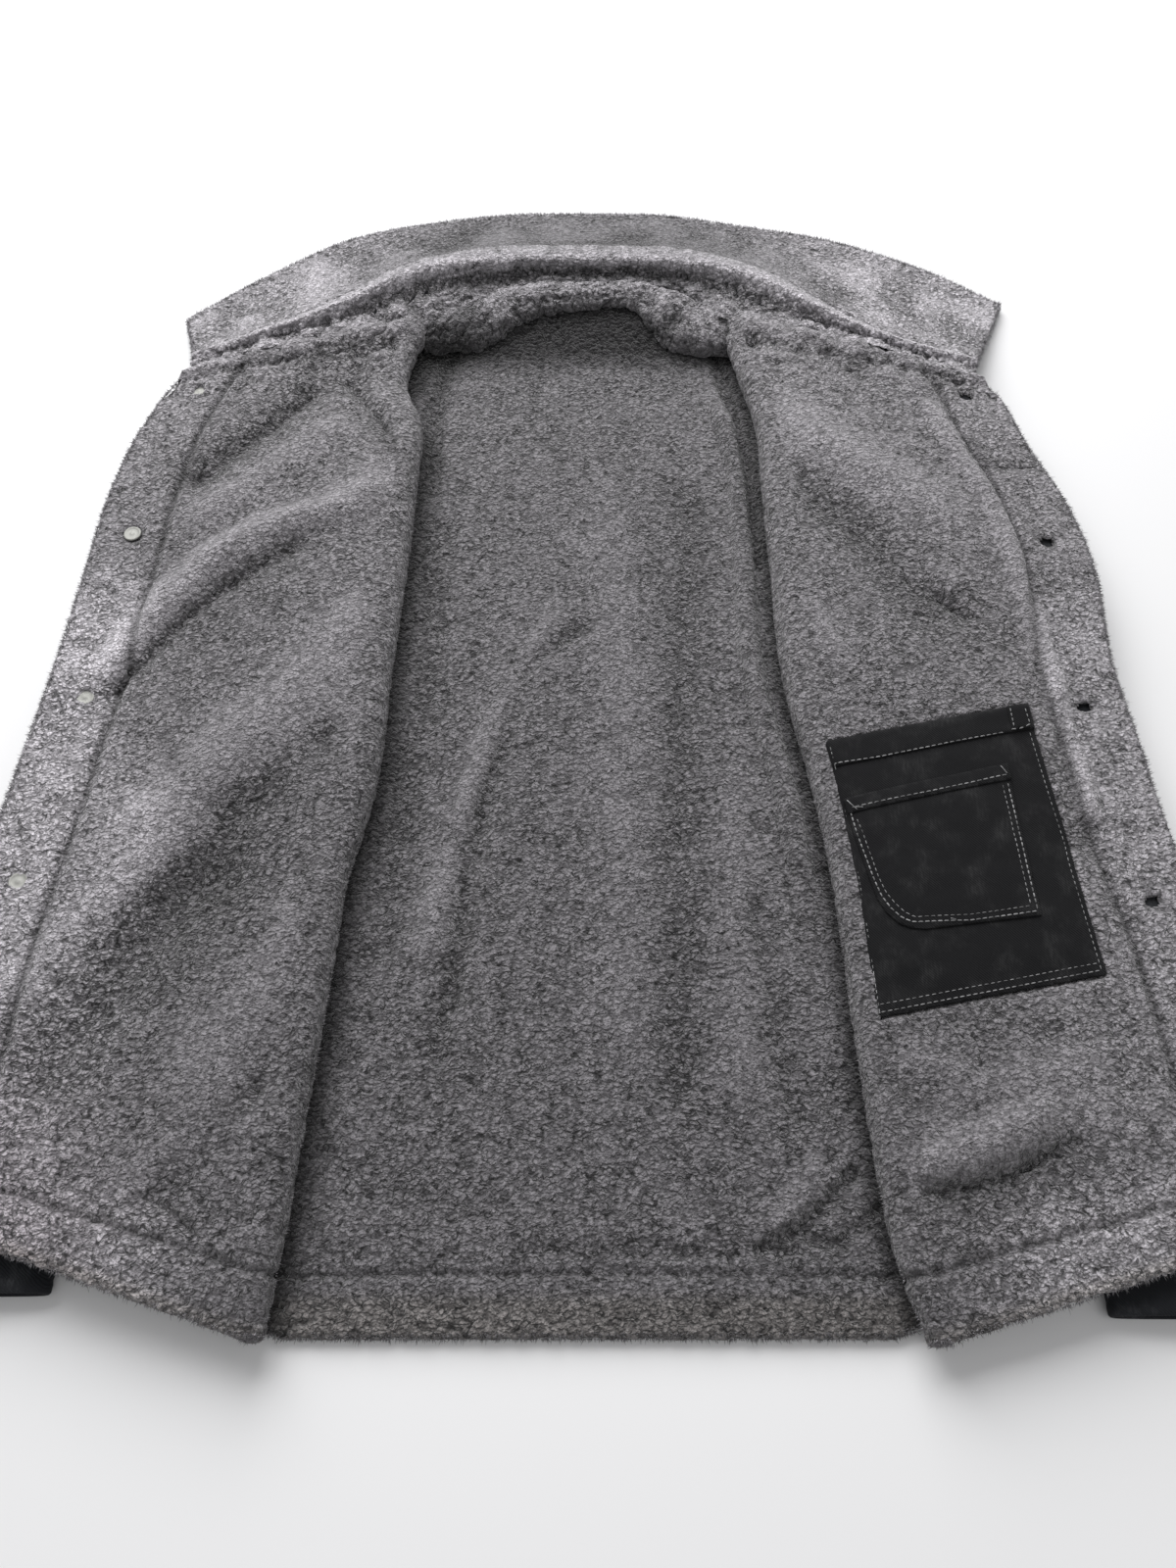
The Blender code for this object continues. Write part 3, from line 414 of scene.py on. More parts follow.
BACK_FOLDS = (
    ((-2.0, 41.4), (-5.2, 34.0), (-7.4, 26.5), (-8.6, 19.9), 1.0, 0.37),
    ((-0.6, 41.0), (-3.6, 37.8), (-5.7, 29.7), (-6.7, 24.0), (-6.8, 19.8), (-7.8, 13.7), 0.62, -0.40),
    ((-9.6, 49.0), (-9.9, 36.0), (-11.2, 20.0), 1.0, -0.22),
    ((-2.8, 3.9), (10.8, 3.9), 0.36, -0.22),
    ((8.5, 4.1), (10.2, 4.8), (12.0, 6.4), (13.2, 7.6), 0.38, -0.37),
    ((9.4, 5.4), (11.4, 7.6), 0.6, 0.26),
    ((10.7, 4.6), (12.1, 4.1), (14.2, 5.9), 0.34, -0.33),
    ((1.0, 52.0), (2.4, 30.0), (1.6, 14.0), 1.8, 0.18),
    ((6.6, 52.0), (5.4, 32.0), (4.6, 12.0), 1.3, -0.22),
    ((8.4, 30.0), (8.0, 12.0), 1.2, 0.18),
    ((9.2, 22.0), (10.6, 10.0), 0.5, -0.22),
    ((8.6, 67.0), (9.5, 62.5), (10.3, 58.0), (10.7, 52.0), (10.8, 46.0), 0.42, -0.66),
    ((-9.5, 66.0), (-10.6, 60.0), (-10.2, 52.0), 0.6, -0.37),
)


def folded(points, folds):
    """How far the folds lift or sink the pile."""
    lift = np.zeros(points.shape[:-1])
    x, y = points[..., 0], points[..., 1]
    for *knots, reach, height in folds:
        apart = np.min([near_line(x, y, (*a, *b))[0] for a, b in zip(knots, knots[1:])], axis=0)
        uneven = 0.8 + 0.5 * noise(points / 4.0, 70)
        lift = lift + height * uneven * hump(apart, 0, reach)
    return lift


# ---- meshes ----


def grid_faces(rows, columns):
    """The point numbers of a grid, and its quads."""
    corner = np.arange(rows * columns).reshape(rows, columns)
    quads = [corner[:-1, :-1], corner[:-1, 1:], corner[1:, 1:], corner[1:, :-1]]
    return corner, np.stack(quads, -1).reshape(-1, 4)


def grid_mesh(name, points, flip=False):
    """A mesh of quads on a grid of points in garment centimetres."""
    _, faces = grid_faces(*points.shape[:2])
    return mesh_of(name, points.reshape(-1, 3), faces[:, ::-1] if flip else faces)


def in_metres(points):
    """Places in the frame, from points in garment centimetres."""
    return np.asarray(points) * CM - (0, MIDDLE_Y * CM, 0)


def mesh_of(name, points, faces):
    mesh = bpy.data.meshes.new(name)
    mesh.vertices.add(len(points))
    mesh.vertices.foreach_set("co", in_metres(points).astype(np.float32).ravel())
    mesh.loops.add(faces.size)
    mesh.loops.foreach_set("vertex_index", np.ascontiguousarray(faces, np.int32).ravel())
    mesh.polygons.add(len(faces))
    mesh.polygons.foreach_set("loop_start", np.arange(0, faces.size, faces.shape[1], dtype=np.int32))
    mesh.update(calc_edges=True)
    mesh.validate()
    mesh.shade_smooth()
    return mesh


def add_piece(name, mesh, material, slot, *nodes):
    piece = bpy.data.objects.new(name, mesh)
    bpy.context.scene.collection.objects.link(piece)
    mesh.materials.append(material)
    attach(piece, "root")
    if nodes:
        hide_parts(*nodes)
    return piece


def unit(vectors):
    return vectors / np.maximum(np.linalg.norm(vectors, axis=-1, keepdims=True), 1e-9)


def normals_on(point, up, share, turned):
    """Unit normals of a surface on the lining's side."""
    tiny = 0.004
    across = point(up, share + tiny) - point(up, share - tiny)
    along = point(up + tiny, share) - point(up - tiny, share)
    return unit(np.cross(across, along) * turned)


def grid_normals(points, turned):
    return unit(np.cross(np.gradient(points, axis=1), np.gradient(points, axis=0)) * turned)


ROLL = 0.26  # radius of a rolled edge
ROLL_TURNS = np.radians((70, 50, 32, 14, -6, -28, -52))
DEEPEST_SINK = 0.75  # the share of its height that a fold can press the pile down by
HOLLOW_DEPTH = 0.30  # depth of fold that counts as one step of painted shade


def spaced(start, end, length, step):
    """Places from start to end, a step apart along a length in centimetres."""
    return np.linspace(start, end, max(2, int(round(length / step)) + 1))


def rolled_places(places, length, start, end):
    """Places across a cloth, with its edge rolled under at the start or the end; length is centimetres for
    each unit. Also how high each place stands on the roll, 1 on the flat and 0 half way down."""
    stand = np.ones(len(places))
    roll = ROLL * (1 - np.cos(ROLL_TURNS)) / length
    for at_start, wanted in ((True, start), (False, end)):
        if not wanted:
            continue
        if at_start:
            keep = places > places[0] + ROLL / length
            places = np.concatenate([(places[0] + roll)[::-1], places[keep]])
            stand = np.concatenate([np.sin(ROLL_TURNS)[::-1], stand[keep]])
        else:
            keep = places < places[-1] - ROLL / length
            places = np.concatenate([places[keep], places[-1] - roll])
            stand = np.concatenate([stand[keep], np.sin(ROLL_TURNS)])
    return places, stand


def seam_dip(distance, reach=0.5, depth=0.55):
    """How much of its height the pile keeps at a distance from a seam."""
    return 1 - depth * hump(distance, 0, reach)


def zeros(points, up, share):
    return np.zeros(up.shape)


def ones(points, up, share):
    return np.ones(up.shape)


def pile_sheet(
    name, point, turned, rows, columns, node_name, look,
    raised=zeros, dip=ones, rough=ones, relief=zeros, hole=None,
):
    """A lining piece: rows and columns are (places, stand) pairs. Each of the rest is a function of the
    points, up and share: `look` gives the tone, which holds painted light and shade, and the tint, `raised`
    lifts the cloth, `dip` is the share of its height that the pile keeps, `rough` deepens its lumps, `hole`
    is true where it is cut, and `relief` is the height of folds already in the surface, where the pile
    parts and where painted shade darkens the hollows and a painted highlight lightens the ridges."""
    (ups, up_stand), (shares, share_stand) = rows, columns
    up, share = np.meshgrid(ups, shares, indexing="ij")
    surface = point(up, share)
    normal = normals_on(point, up, share, turned)
    stand = np.minimum(up_stand[:, None], share_stand[None, :])
    height = HALF_GAP + (SHERPA - ROLL) + ROLL * stand
    keep = dip(surface, up, share)
    height = np.where(stand > 0, height * keep, height)
    fold = raised(surface, up, share)
    base = surface + normal * (height + np.maximum(fold, -DEEPEST_SINK * height))[..., None]
    out = grid_normals(base, turned)
    curls, slow = lumps(base)
    hollow = -(fold + relief(surface, up, share)) / HOLLOW_DEPTH
    # How parted the pile is: more in the hollows of folds, where it deepens the lumps and the material
    # paints wider dark partings as painted shade.
    crush = ease(0.45 + 0.16 * noise(base / 1.5, 40) + 0.42 * np.clip(hollow, -1.3, 1.3))
    depth = (0.05 + 0.09 * crush) * rough(surface, up, share) * np.clip(keep * 1.6 - 0.5, 0, 1)
    lift = depth * (curls - 0.75) + 0.05 * slow * keep
    finished = base + out * lift[..., None]
    mesh = grid_mesh(name, finished, flip=turned < 0)
    tone, tint = look(surface, up, share)
    # Painted shade and highlight: darker in the hollows of folds and lighter on their ridges, and darker
    # where the pile is pressed down at seams, slots and tack backs.
    tone = tone * (1 - 0.17 * np.clip(hollow, -1.8, 1.6)) * (0.30 + 0.70 * ease(keep * 1.25 - 0.25))
    colour = np.ones((*up.shape, 4))
    colour[..., :3] = np.asarray(tone)[..., None] * tint
    paint(mesh, colour, curls, crush)
    if hole is not None:
        drop_faces(mesh, hole(surface, up, share).ravel())
    add_piece(name, mesh, SHERPA_LOOK, "sherpa_lining", node_name)


def paint(mesh, colour, curl, crush):
    """Stores the colour, which holds painted light and shade with the tint, and the state of the pile on the
    points, for the material to read.
    """
    tint = mesh.attributes.new("tint", "FLOAT_COLOR", "POINT")
    tint.data.foreach_set("color", colour.ravel().astype(np.float32))
    for label, values in (("curl", curl), ("crush", crush)):
        state = mesh.attributes.new(label, "FLOAT", "POINT")
        state.data.foreach_set("value", values.ravel().astype(np.float32))


def drop_faces(mesh, inside):
    """Removes the points where `inside` is true, and their faces."""
    cut = bmesh.new()
    cut.from_mesh(mesh)
    cut.verts.ensure_lookup_table()
    bmesh.ops.delete(cut, geom=[cut.verts[int(i)] for i in np.flatnonzero(inside)], context="VERTS")
    cut.to_mesh(mesh)
    cut.free()


def denim_sheet(name, point, turned, ups, shares, node_name):
    """A shell piece: a wall on the denim side of the surface."""
    up, share = np.meshgrid(ups, shares, indexing="ij")
    surface = point(up, share)
    normal = normals_on(point, up, share, turned)
    mesh = wall_mesh(name, surface + normal * -HALF_GAP, surface + normal * (-HALF_GAP - DENIM), turned)
    add_piece(name, mesh, SHELL_LOOK, "shell_denim", node_name)


def wall_mesh(name, upper, lower, turned):
    """A closed wall between two grids of points."""
    corner, top = grid_faces(*upper.shape[:2])
    count = corner.size
    rim = np.concatenate([corner[0, :-1], corner[:-1, -1], corner[-1, :0:-1], corner[:0:-1, 0]])
    following = np.roll(rim, -1)
    sides = np.stack([rim, rim + count, following + count, following], -1)
    faces = np.concatenate([top, top[:, ::-1] + count, sides])
    points = np.concatenate([upper.reshape(-1, 3), lower.reshape(-1, 3)])
    return mesh_of(name, points, faces if turned > 0 else faces[:, ::-1])


# ---- materials ----


def node(tree, kind, inputs=(), **settings):
    made = tree.nodes.new(kind)
    for name, value in settings.items():
        setattr(made, name, value)
    for socket, value in dict(inputs).items():
        if isinstance(value, bpy.types.NodeSocket):
            tree.links.new(value, made.inputs[socket])
        else:
            made.inputs[socket].default_value = value
    return made


def maths(tree, operation, *values):
    return node(tree, "ShaderNodeMath", dict(enumerate(values)), operation=operation).outputs[0]


def mapped(tree, value, low, high, to_low=0.0, to_high=1.0):
    inputs = {"Value": value, "From Min": low, "From Max": high, "To Min": to_low, "To Max": to_high}
    return node(tree, "ShaderNodeMapRange", inputs, interpolation_type="SMOOTHSTEP").outputs[0]


def grain(tree, coordinates, scale, detail=1.0):
    inputs = {"Vector": coordinates, "Scale": scale, "Detail": detail, "Roughness": 0.55}
    return node(tree, "ShaderNodeTexNoise", inputs)


def attribute(tree, name):
    return node(tree, "ShaderNodeAttribute", attribute_name=name).outputs["Fac"]


def scaled(tree, vector, factors):
    return node(tree, "ShaderNodeVectorMath", {0: vector, 1: factors}, operation="MULTIPLY").outputs[0]


def mixed(tree, share, first, second, blend_type="MIX"):
    inputs = {0: share, 6: first, 7: second}
    return node(tree, "ShaderNodeMix", inputs, data_type="RGBA", blend_type=blend_type).outputs[2]


def object_place(tree):
    return node(tree, "ShaderNodeTexCoord").outputs["Object"]


def bumped(tree, shader, height, distance, strength):
    """Bump of a height in metres for each unit of `height`."""
    inputs = {"Height": height, "Distance": distance, "Strength": strength}
    tree.links.new(node(tree, "ShaderNodeBump", inputs).outputs[0], shader.inputs["Normal"])


def new_material(name, colour, roughness, sheen=0.0):
    material = bpy.data.materials.new(name)
    material.use_nodes = True
    material.diffuse_color = (*colour, 1.0)
    tree = material.node_tree
    shader = tree.nodes["Principled BSDF"]
    shader.inputs["Base Color"].default_value = (*colour, 1.0)
    shader.inputs["Roughness"].default_value = roughness
    shader.inputs["Sheen Weight"].default_value = sheen
    shader.inputs["Sheen Roughness"].default_value = 0.5
    return material, tree, shader


PILE_COLOUR = (0.269, 0.257, 0.274, 1.0)


def sherpa_material():
    """Curled grey pile: pale knots of fibre about 2 mm across, with short dark partings between. The dark
    partings and low curls are painted shade, and the knots' lighter middles a painted highlight.
    """
    material, tree, shader = new_material("sherpa_pile", (0.25, 0.25, 0.252), 0.95, 0.35)
    shader.inputs["Specular IOR Level"].default_value = 0.12
    place = object_place(tree)
    bend = grain(tree, place, 210.0, 2.0).outputs["Color"]
    bend = node(tree, "ShaderNodeVectorMath", {0: bend, 1: (0.5, 0.5, 0.5)}, operation="SUBTRACT").outputs[0]
    inputs = {0: bend, 1: (0.0045, 0.0045, 0.0045), 2: place}
    bent = node(tree, "ShaderNodeVectorMath", inputs, operation="MULTIPLY_ADD").outputs[0]
    bent = scaled(tree, bent, (0.85, 1.1, 1.0))
    crush = attribute(tree, "crush")

    def partings(scale, width):
        worms = grain(tree, bent, scale, 0.5).outputs["Fac"]
        worms = maths(tree, "ABSOLUTE", maths(tree, "SUBTRACT", worms, 0.5))
        return mapped(tree, worms, width * 0.25, width, 1.0, 0.0)

    inputs = {"Vector": bent, "Scale": 430.0, "Randomness": 1.0}
    knots = node(tree, "ShaderNodeTexVoronoi", inputs, feature="F1").outputs["Distance"]
    gaps = mapped(tree, knots, 0.30, 0.75)
    patches = maths(tree, "MULTIPLY_ADD", crush, 0.34, grain(tree, place, 240.0, 1.0).outputs["Fac"])
    wide = maths(tree, "MULTIPLY", partings(250.0, 0.080), mapped(tree, patches, 0.50, 0.80))
    fine = maths(tree, "MULTIPLY", gaps, mapped(tree, crush, 0.0, 1.0, 0.55, 0.95))
    parting = maths(tree, "MAXIMUM", wide, fine)
    fibres = grain(tree, place, 900.0, 1.5).outputs["Fac"]
    depth = maths(tree, "MULTIPLY", parting, -1.0)
    depth = maths(tree, "MULTIPLY_ADD", fibres, 0.7, depth)
    bumped(tree, shader, depth, 0.0016, 1.0)
    # Painted shade in the partings, wider where the pile is crushed, and in the low parts of the curls; a
    # painted highlight at the knots' middles. The fibres and the slow grain vary the tone at random.
    shade = mapped(tree, fine, 0.0, 0.85, 1.22, 0.52)
    for value, low, high, at_low, at_high in (
        (wide, 0.0, 1.0, 1.0, 0.22),
        (fibres, 0.3, 0.7, 0.66, 1.34),
        (attribute(tree, "curl"), 0.0, 0.8, 0.70, 1.06),
        (grain(tree, place, 17.0, 2.0).outputs["Fac"], 0.3, 0.7, 0.98, 1.02),
    ):
        shade = maths(tree, "MULTIPLY", shade, mapped(tree, value, low, high, at_low, at_high))
    grey = node(tree, "ShaderNodeCombineColor", {0: shade, 1: shade, 2: shade}).outputs[0]
    # The tint attribute holds the pile's painted light and shade together with its tint.
    tint = node(tree, "ShaderNodeAttribute", attribute_name="tint").outputs["Color"]
    colour = mixed(tree, 1.0, PILE_COLOUR, grey, "MULTIPLY")
    colour = mixed(tree, 1.0, colour, tint, "MULTIPLY")
    tree.links.new(colour, shader.inputs["Base Color"])
    return material


def denim_material(name, colour, pale):
    material, tree, shader = new_material(name, colour, 0.9, 0.03)
    shader.inputs["Specular IOR Level"].default_value = 0.16
    place = object_place(tree)
    inputs = {"Vector": place, "Scale": 380.0, "Distortion": 1.5, "Detail": 2.0, "Detail Scale": 1.0}
    twill = node(tree, "ShaderNodeTexWave", inputs, bands_direction="DIAGONAL").outputs["Fac"]
    slubs = grain(tree, scaled(tree, place, (1.0, 0.18, 1.0)), 900.0, 2.0).outputs["Fac"]
    washed = grain(tree, place, 60.0, 4.0).outputs["Fac"]
    height = maths(tree, "MULTIPLY_ADD", slubs, 0.8, twill)
    bumped(tree, shader, height, 0.0004, 0.7)
    faded, streaked = mapped(tree, washed, 0.45, 0.75), mapped(tree, slubs, 0.35, 0.7, 0.3, 1.0)
    share = maths(tree, "MULTIPLY", faded, streaked)
    tree.links.new(mixed(tree, share, (*colour, 1.0), (*pale, 1.0)), shader.inputs["Base Color"])
    return material


def metal_material():
    material, tree, shader = new_material("tack_metal", (0.30, 0.30, 0.29), 0.6)
    shader.inputs["Metallic"].default_value = 0.35
    place = object_place(tree)
    worn = grain(tree, place, 700.0, 3.0).outputs["Fac"]
    colour = mixed(tree, worn, (0.26, 0.26, 0.24, 1.0), (0.42, 0.42, 0.40, 1.0))
    tree.links.new(colour, shader.inputs["Base Color"])
    tree.links.new(mapped(tree, worn, 0.3, 0.7, 0.48, 0.68), shader.inputs["Roughness"])
    return material


def thread_material():
    material, tree, shader = new_material("pale_thread", (0.33, 0.33, 0.335), 0.8, 0.2)
    place = object_place(tree)
    worn = grain(tree, place, 160.0, 3.0).outputs["Fac"]
    colour = mixed(tree, mapped(tree, worn, 0.35, 0.7), (0.34, 0.34, 0.345, 1.0), (0.07, 0.07, 0.072, 1.0))
    tree.links.new(colour, shader.inputs["Base Color"])
    strands = grain(tree, place, 2500.0, 1.0).outputs["Fac"]
    bumped(tree, shader, strands, 0.0002, 0.6)
    return material


SHERPA_LOOK = sherpa_material()
SHELL_LOOK = denim_material("shell_denim", (0.016, 0.017, 0.020), (0.055, 0.057, 0.062))
POCKET_LOOK = denim_material("pocket_denim", (0.0095, 0.0095, 0.0105), (0.030, 0.030, 0.031))
METAL_LOOK = metal_material()
THREAD_LOOK = thread_material()

# ---- the back ----

BACK_HEM_UP = HEM_DEPTH / SHOULDER_ROWS[0][1]
BACK_LENGTH = SHOULDER_ROWS[0][1]
OVERLAP = 0.06  # neighbouring pile pieces run into each other by this much
WARM = np.array([1.035, 0.985, 1.0])
OLIVE = np.array([1.01, 0.985, 0.90])
NECK_SHADE_Y = 65.6
UNDER_FOLD = 1.2  # how far the fine grid of the back runs on beneath each fold
SHOWN_WIDTH = 27.5
HIDDEN_WIDTH = 11.0
EDGE_INSET = 0.22  # the denim stops this much inside the edge of the pile
PLAIN = np.ones(3)


def tinted(share, tint):
    return PLAIN + np.asarray(share)[..., None] * (tint - PLAIN)


def fold_at(side, y):
    return column(FRONT_ROWS[side], FRONT_COLUMNS, "fold_x", y)


def back_surface(loose):
    """Point of the back by its share of height and width: 0 to 1 shows between the fronts' folds."""

    def point(up, share):
        y = up * BACK_LENGTH
        left, right = -fold_at(LEFT, y) - UNDER_FOLD, fold_at(RIGHT, y) + UNDER_FOLD
        x = blend(left, right, np.clip(share, 0.0, 1.0))
        x = x + np.clip(share, -1.0, 0.0) * (side_seam(LEFT, y) + left)
        x = x + np.clip(share - 1, 0.0, 1.0) * (side_seam(RIGHT, y) - right)
        found = back_point(x, up)
        found[..., 2] += loose * pleat_lift(found[..., 0], found[..., 1])
        return found

    return point


def flat_places(places):
    return places, np.ones(len(places))


def back_look(points, up, share):
    x, y = points[..., 0], points[..., 1]
    from_left, from_right = x + fold_at(LEFT, y), fold_at(RIGHT, y) - x
    # Painted shadow: darker beside the edges of the fronts' folds, under the neck band and in the upper left
    # corner by the band's end.
    shade = 0.28 + 0.72 * ease(from_left / 1.9 + 0.1)
    shade = shade * (0.28 + 0.72 * ease(from_right / 1.3 + 0.15))
    shade = shade * (0.20 + 0.80 * short_of(y, NECK_SHADE_Y, 3.0))
    shade = shade * (0.30 + 0.70 * ease((np.hypot(x + 11.0, (y - 65.0) / 1.6) - 0.6) / 3.0))
    # Painted shade: the back, sunk between the fronts, is darker than they are, and darker towards the hem.
    return (0.62 + 0.09 * ease(y / 60)) * shade, tinted(short_of(y, 2.3, 0.9) * 0.9, OLIVE)


def build_back():
    hidden = spaced(0, 1, HIDDEN_WIDTH, HIDDEN_STEP)

    def across(step):
        return np.concatenate([hidden[:-1] - 1, spaced(0, 1, SHOWN_WIDTH, step), 1 + hidden[1:]])

    def dip(points, up, share):
        return seam_dip(np.abs(up - BACK_HEM_UP) * BACK_LENGTH, 0.18, 0.40)

    def raised(points, up, share):
        return folded(points, BACK_FOLDS)

    def hem_rough(points, up, share):
        return 1.25 + 0 * up

    shares = flat_places(across(PILE_STEP))
    overlap = OVERLAP / BACK_LENGTH
    lining = flat_places(spaced(BACK_HEM_UP - overlap, 1.0, BACK_LENGTH - HEM_DEPTH, PILE_STEP))
    hem = rolled_places(spaced(0.0, BACK_HEM_UP + overlap, HEM_DEPTH, PILE_STEP), BACK_LENGTH, True, False)
    loose, flat = back_surface(1.0), back_surface(0.0)
    pile_sheet("back_lining_pile", loose, 1, lining, shares, "back_lining", back_look, raised, dip)
    pile_sheet("back_hem_pile", flat, 1, hem, shares, "back_hem_band", back_look, raised, dip, hem_rough)
    shell = spaced(EDGE_INSET / BACK_LENGTH, 1.0, BACK_LENGTH, DENIM_STEP)
    denim_sheet("back_shell_cloth", flat, 1, shell, across(DENIM_STEP), "back_shell")


# ---- the fronts ----

LINING_WIDTH = 15.2
TURN_LENGTH = 2.3
OUTER_PAINTED_LIGHT = {LEFT: 1.00, RIGHT: 0.42}  # how much painted light brightens the pile towards the outer edge, and at the hem
HEM_PAINTED_LIGHT = {LEFT: 1.20, RIGHT: 1.25}
SLOT_HALF_LENGTH = 0.30
SLOT_HALF_WIDTH = 0.22
TACK_SINK = (0.22, 0.32, 0.22, 0.24, 0.24)  # height of each tack back's underside over the seam surface


def inside_of(x, y, corners):
    """How far inside a convex outline, given anticlockwise, a place lies."""
    apart = []
    for (from_x, from_y), (to_x, to_y) in zip(corners, corners[1:] + corners[:1]):
        along_x, along_y = to_x - from_x, to_y - from_y
        apart.append(((y - from_y) * along_x - (x - from_x) * along_y) / math.hypot(along_x, along_y))
    return np.min(apart, axis=0)


def placket_axes(side, up):
    """Centre of a button or slot on the placket, and its axes across, along and out."""

    def at(height, share):
        return front_share(side, height, share)

    centre = at(up, BUTTON_SHARE)
    across = Vector(at(up, BUTTON_SHARE + 0.2) - at(up, BUTTON_SHARE - 0.2)).normalized() * side
    along = Vector(at(up + 1.0, BUTTON_SHARE) - at(up - 1.0, BUTTON_SHARE)).normalized()
    out = across.cross(along).normalized()
    return centre, across, out.cross(across), out


def placket_places(points, side):
    """For each point, its place across and along from the nearest button or slot."""
    across_all, along_all = [], []
    for up in BUTTON_UPS:
        centre, across, along, _ = placket_axes(side, up)
        across_all.append((points - centre) @ np.array(across))
        along_all.append((points - centre) @ np.array(along))
    across_all, along_all = np.array(across_all), np.array(along_all)
    nearest = np.argmin(across_all**2 + along_all**2, axis=0)[None]
    return np.take_along_axis(across_all, nearest, 0)[0], np.take_along_axis(along_all, nearest, 0)[0]


def build_front(side):
    word = SIDE_WORDS[side]
    foot = FRONT_ROWS[side][0][0]
    hem_up = foot + HEM_DEPTH

    def point(up, share):
        found = front_share(side, up, share)
        flat_out = past(share, 1.0, 0.12) * (1 - past(up, 60.5, 2.0))
        found[..., 2] += folded(found, FRONT_FOLDS) * flat_out
        return found

    hidden = spaced(-1, 0, 10.0, HIDDEN_STEP)
    turn = spaced(0, 1, TURN_LENGTH, PILE_STEP)
    shown = spaced(1, 2 + OVERLAP / LINING_WIDTH, LINING_WIDTH, PILE_STEP)
    lining = np.concatenate([hidden[:-1], turn, shown[1:]])
    facing = spaced(2 - OVERLAP / FACING_WIDTH, 3, FACING_WIDTH, PILE_STEP)
    whole = np.concatenate([lining, facing[2:]])
    above = spaced(hem_up - OVERLAP, TOP + 0.25, 61.5, PILE_STEP)
    facing_rolled = rolled_places(facing, FACING_WIDTH, False, True)
    whole_rolled = rolled_places(whole, FACING_WIDTH, False, True)

    def dip(points, up, share):
        seam = np.abs(share - 2) * np.where(share < 2, LINING_WIDTH, FACING_WIDTH)
        keep = seam_dip(seam, 0.25, 0.80) * seam_dip(np.abs(up - hem_up), 0.19, 0.50)
        across, along = placket_places(points, side)
        if side == LEFT:
            open_up = np.where(np.abs(up - BUTTON_UPS[1]) < 5, 0.40, 0.15)
            keep = keep * (1 - 0.75 * np.exp(-(((across**2 + along**2) / open_up) ** 2)))
        else:
            keep = keep * (1 - 0.97 * np.exp(-(((across / 0.52) ** 2 + (along / 0.34) ** 2) ** 1.5)))
            pressed = ease(inside_of(points[..., 0], points[..., 1], POCKET) / 0.40 + 0.7) * (share > 1)
            keep = keep * (1 - 0.55 * pressed)
        return keep

    def raised(points, up, share):
        out = past(share, 0.9, 0.1)
        neck = past(up, 60.5, 2.0)
        roll = hump(up - TOP, -0.9, 0.75) * 0.30 - hump(up - TOP, -2.6, 0.45) * 0.16
        lobes = neck * (0.30 * noise(points / 2.0, 90) + 0.14 * noise(points / 0.9, 91))
        edge = 0.10 * noise(points / 2.6, 92) * ease((share - 2) * 2)
        return out * (roll * (0.8 + 0.6 * noise(points / 2.2, 93)) + lobes) + edge

    def relief(points, up, share):
        lift = folded(points, FRONT_FOLDS) * past(share, 1.0, 0.12) * (1 - past(up, 60.5, 2.0))
        return lift + 0.6 * creased(side * points[..., 0], points[..., 1], CREASES[side]) * (share > 1)

    def rough(points, up, share):
        return 1.0 + 0.9 * past(up, 60.0, 4.0) + 0.35 * ease((hem_up - up) / 1.0)

    def look(points, up, share):
        low = short_of(up, 14.0, 16.0) * past(share, 1.2, 0.8) * (side == LEFT)
        edge = ease((foot + 1.0 - up) / 0.8) * 0.8
        outer = past(share, 2.0, 0.8)
        # Painted light: darker towards the hem and lighter towards the collar. The facing is lighter too.
        tone = 0.63 + 0.22 * ease(up / 60) + 0.12 * past(up, 52, 10) + 0.09 * outer + 0.15 * (share > 2)
        # Painted pool of light on the lower outer part and along the hem.
        outward = ease((share - 1.72 + 0.34 * short_of(up, 32, 10)) / 0.5)
        outward = outward * short_of(up, 46, 8) * OUTER_PAINTED_LIGHT[side]
        hemward = past(share, 1.05, 0.5) * ease((foot + 6.5 - up) / 4.0) * HEM_PAINTED_LIGHT[side]
        return tone * (1 + np.maximum(outward, hemward)), tinted(low, WARM) * tinted(edge, OLIVE)

    def slot(points, up, share):
        across, along = placket_places(points, side)
        return (across / SLOT_HALF_LENGTH) ** 2 + (along / SLOT_HALF_WIDTH) ** 2 < 1

    hem = rolled_places(spaced(foot, hem_up + OVERLAP, HEM_DEPTH, PILE_STEP), 1.0, True, False)
    hole = slot if side == RIGHT else None
    for name, rows, columns, cloth, cut in (
        ("front_pile", flat_places(above), flat_places(lining), "front_lining", None),
        ("facing_pile", flat_places(above), facing_rolled, "front_facing", hole),
        ("hem_pile", hem, whole_rolled, "front_hem_band", None),
    ):
        pile_sheet(
            f"{word}_{name}", point, side, rows, columns, f"{word}_{cloth}",
            look, raised, dip, rough, relief, cut,
        )
    shell_shares = np.concatenate([
        hidden[:-1],
        spaced(0, 1, TURN_LENGTH, 0.3),
        spaced(1, 2, LINING_WIDTH, DENIM_STEP)[1:],
        spaced(2, 3 - EDGE_INSET / FACING_WIDTH, FACING_WIDTH, DENIM_STEP)[1:],
    ])
    shell_ups = spaced(foot + EDGE_INSET, TOP, 66.0, DENIM_STEP)
    denim_sheet(f"{word}_front_cloth", point, side, shell_ups, shell_shares, f"{word}_front_shell")


# ---- the collar ----

COLLAR_HALF = 31.0
LEAF_LENGTH = 9.5
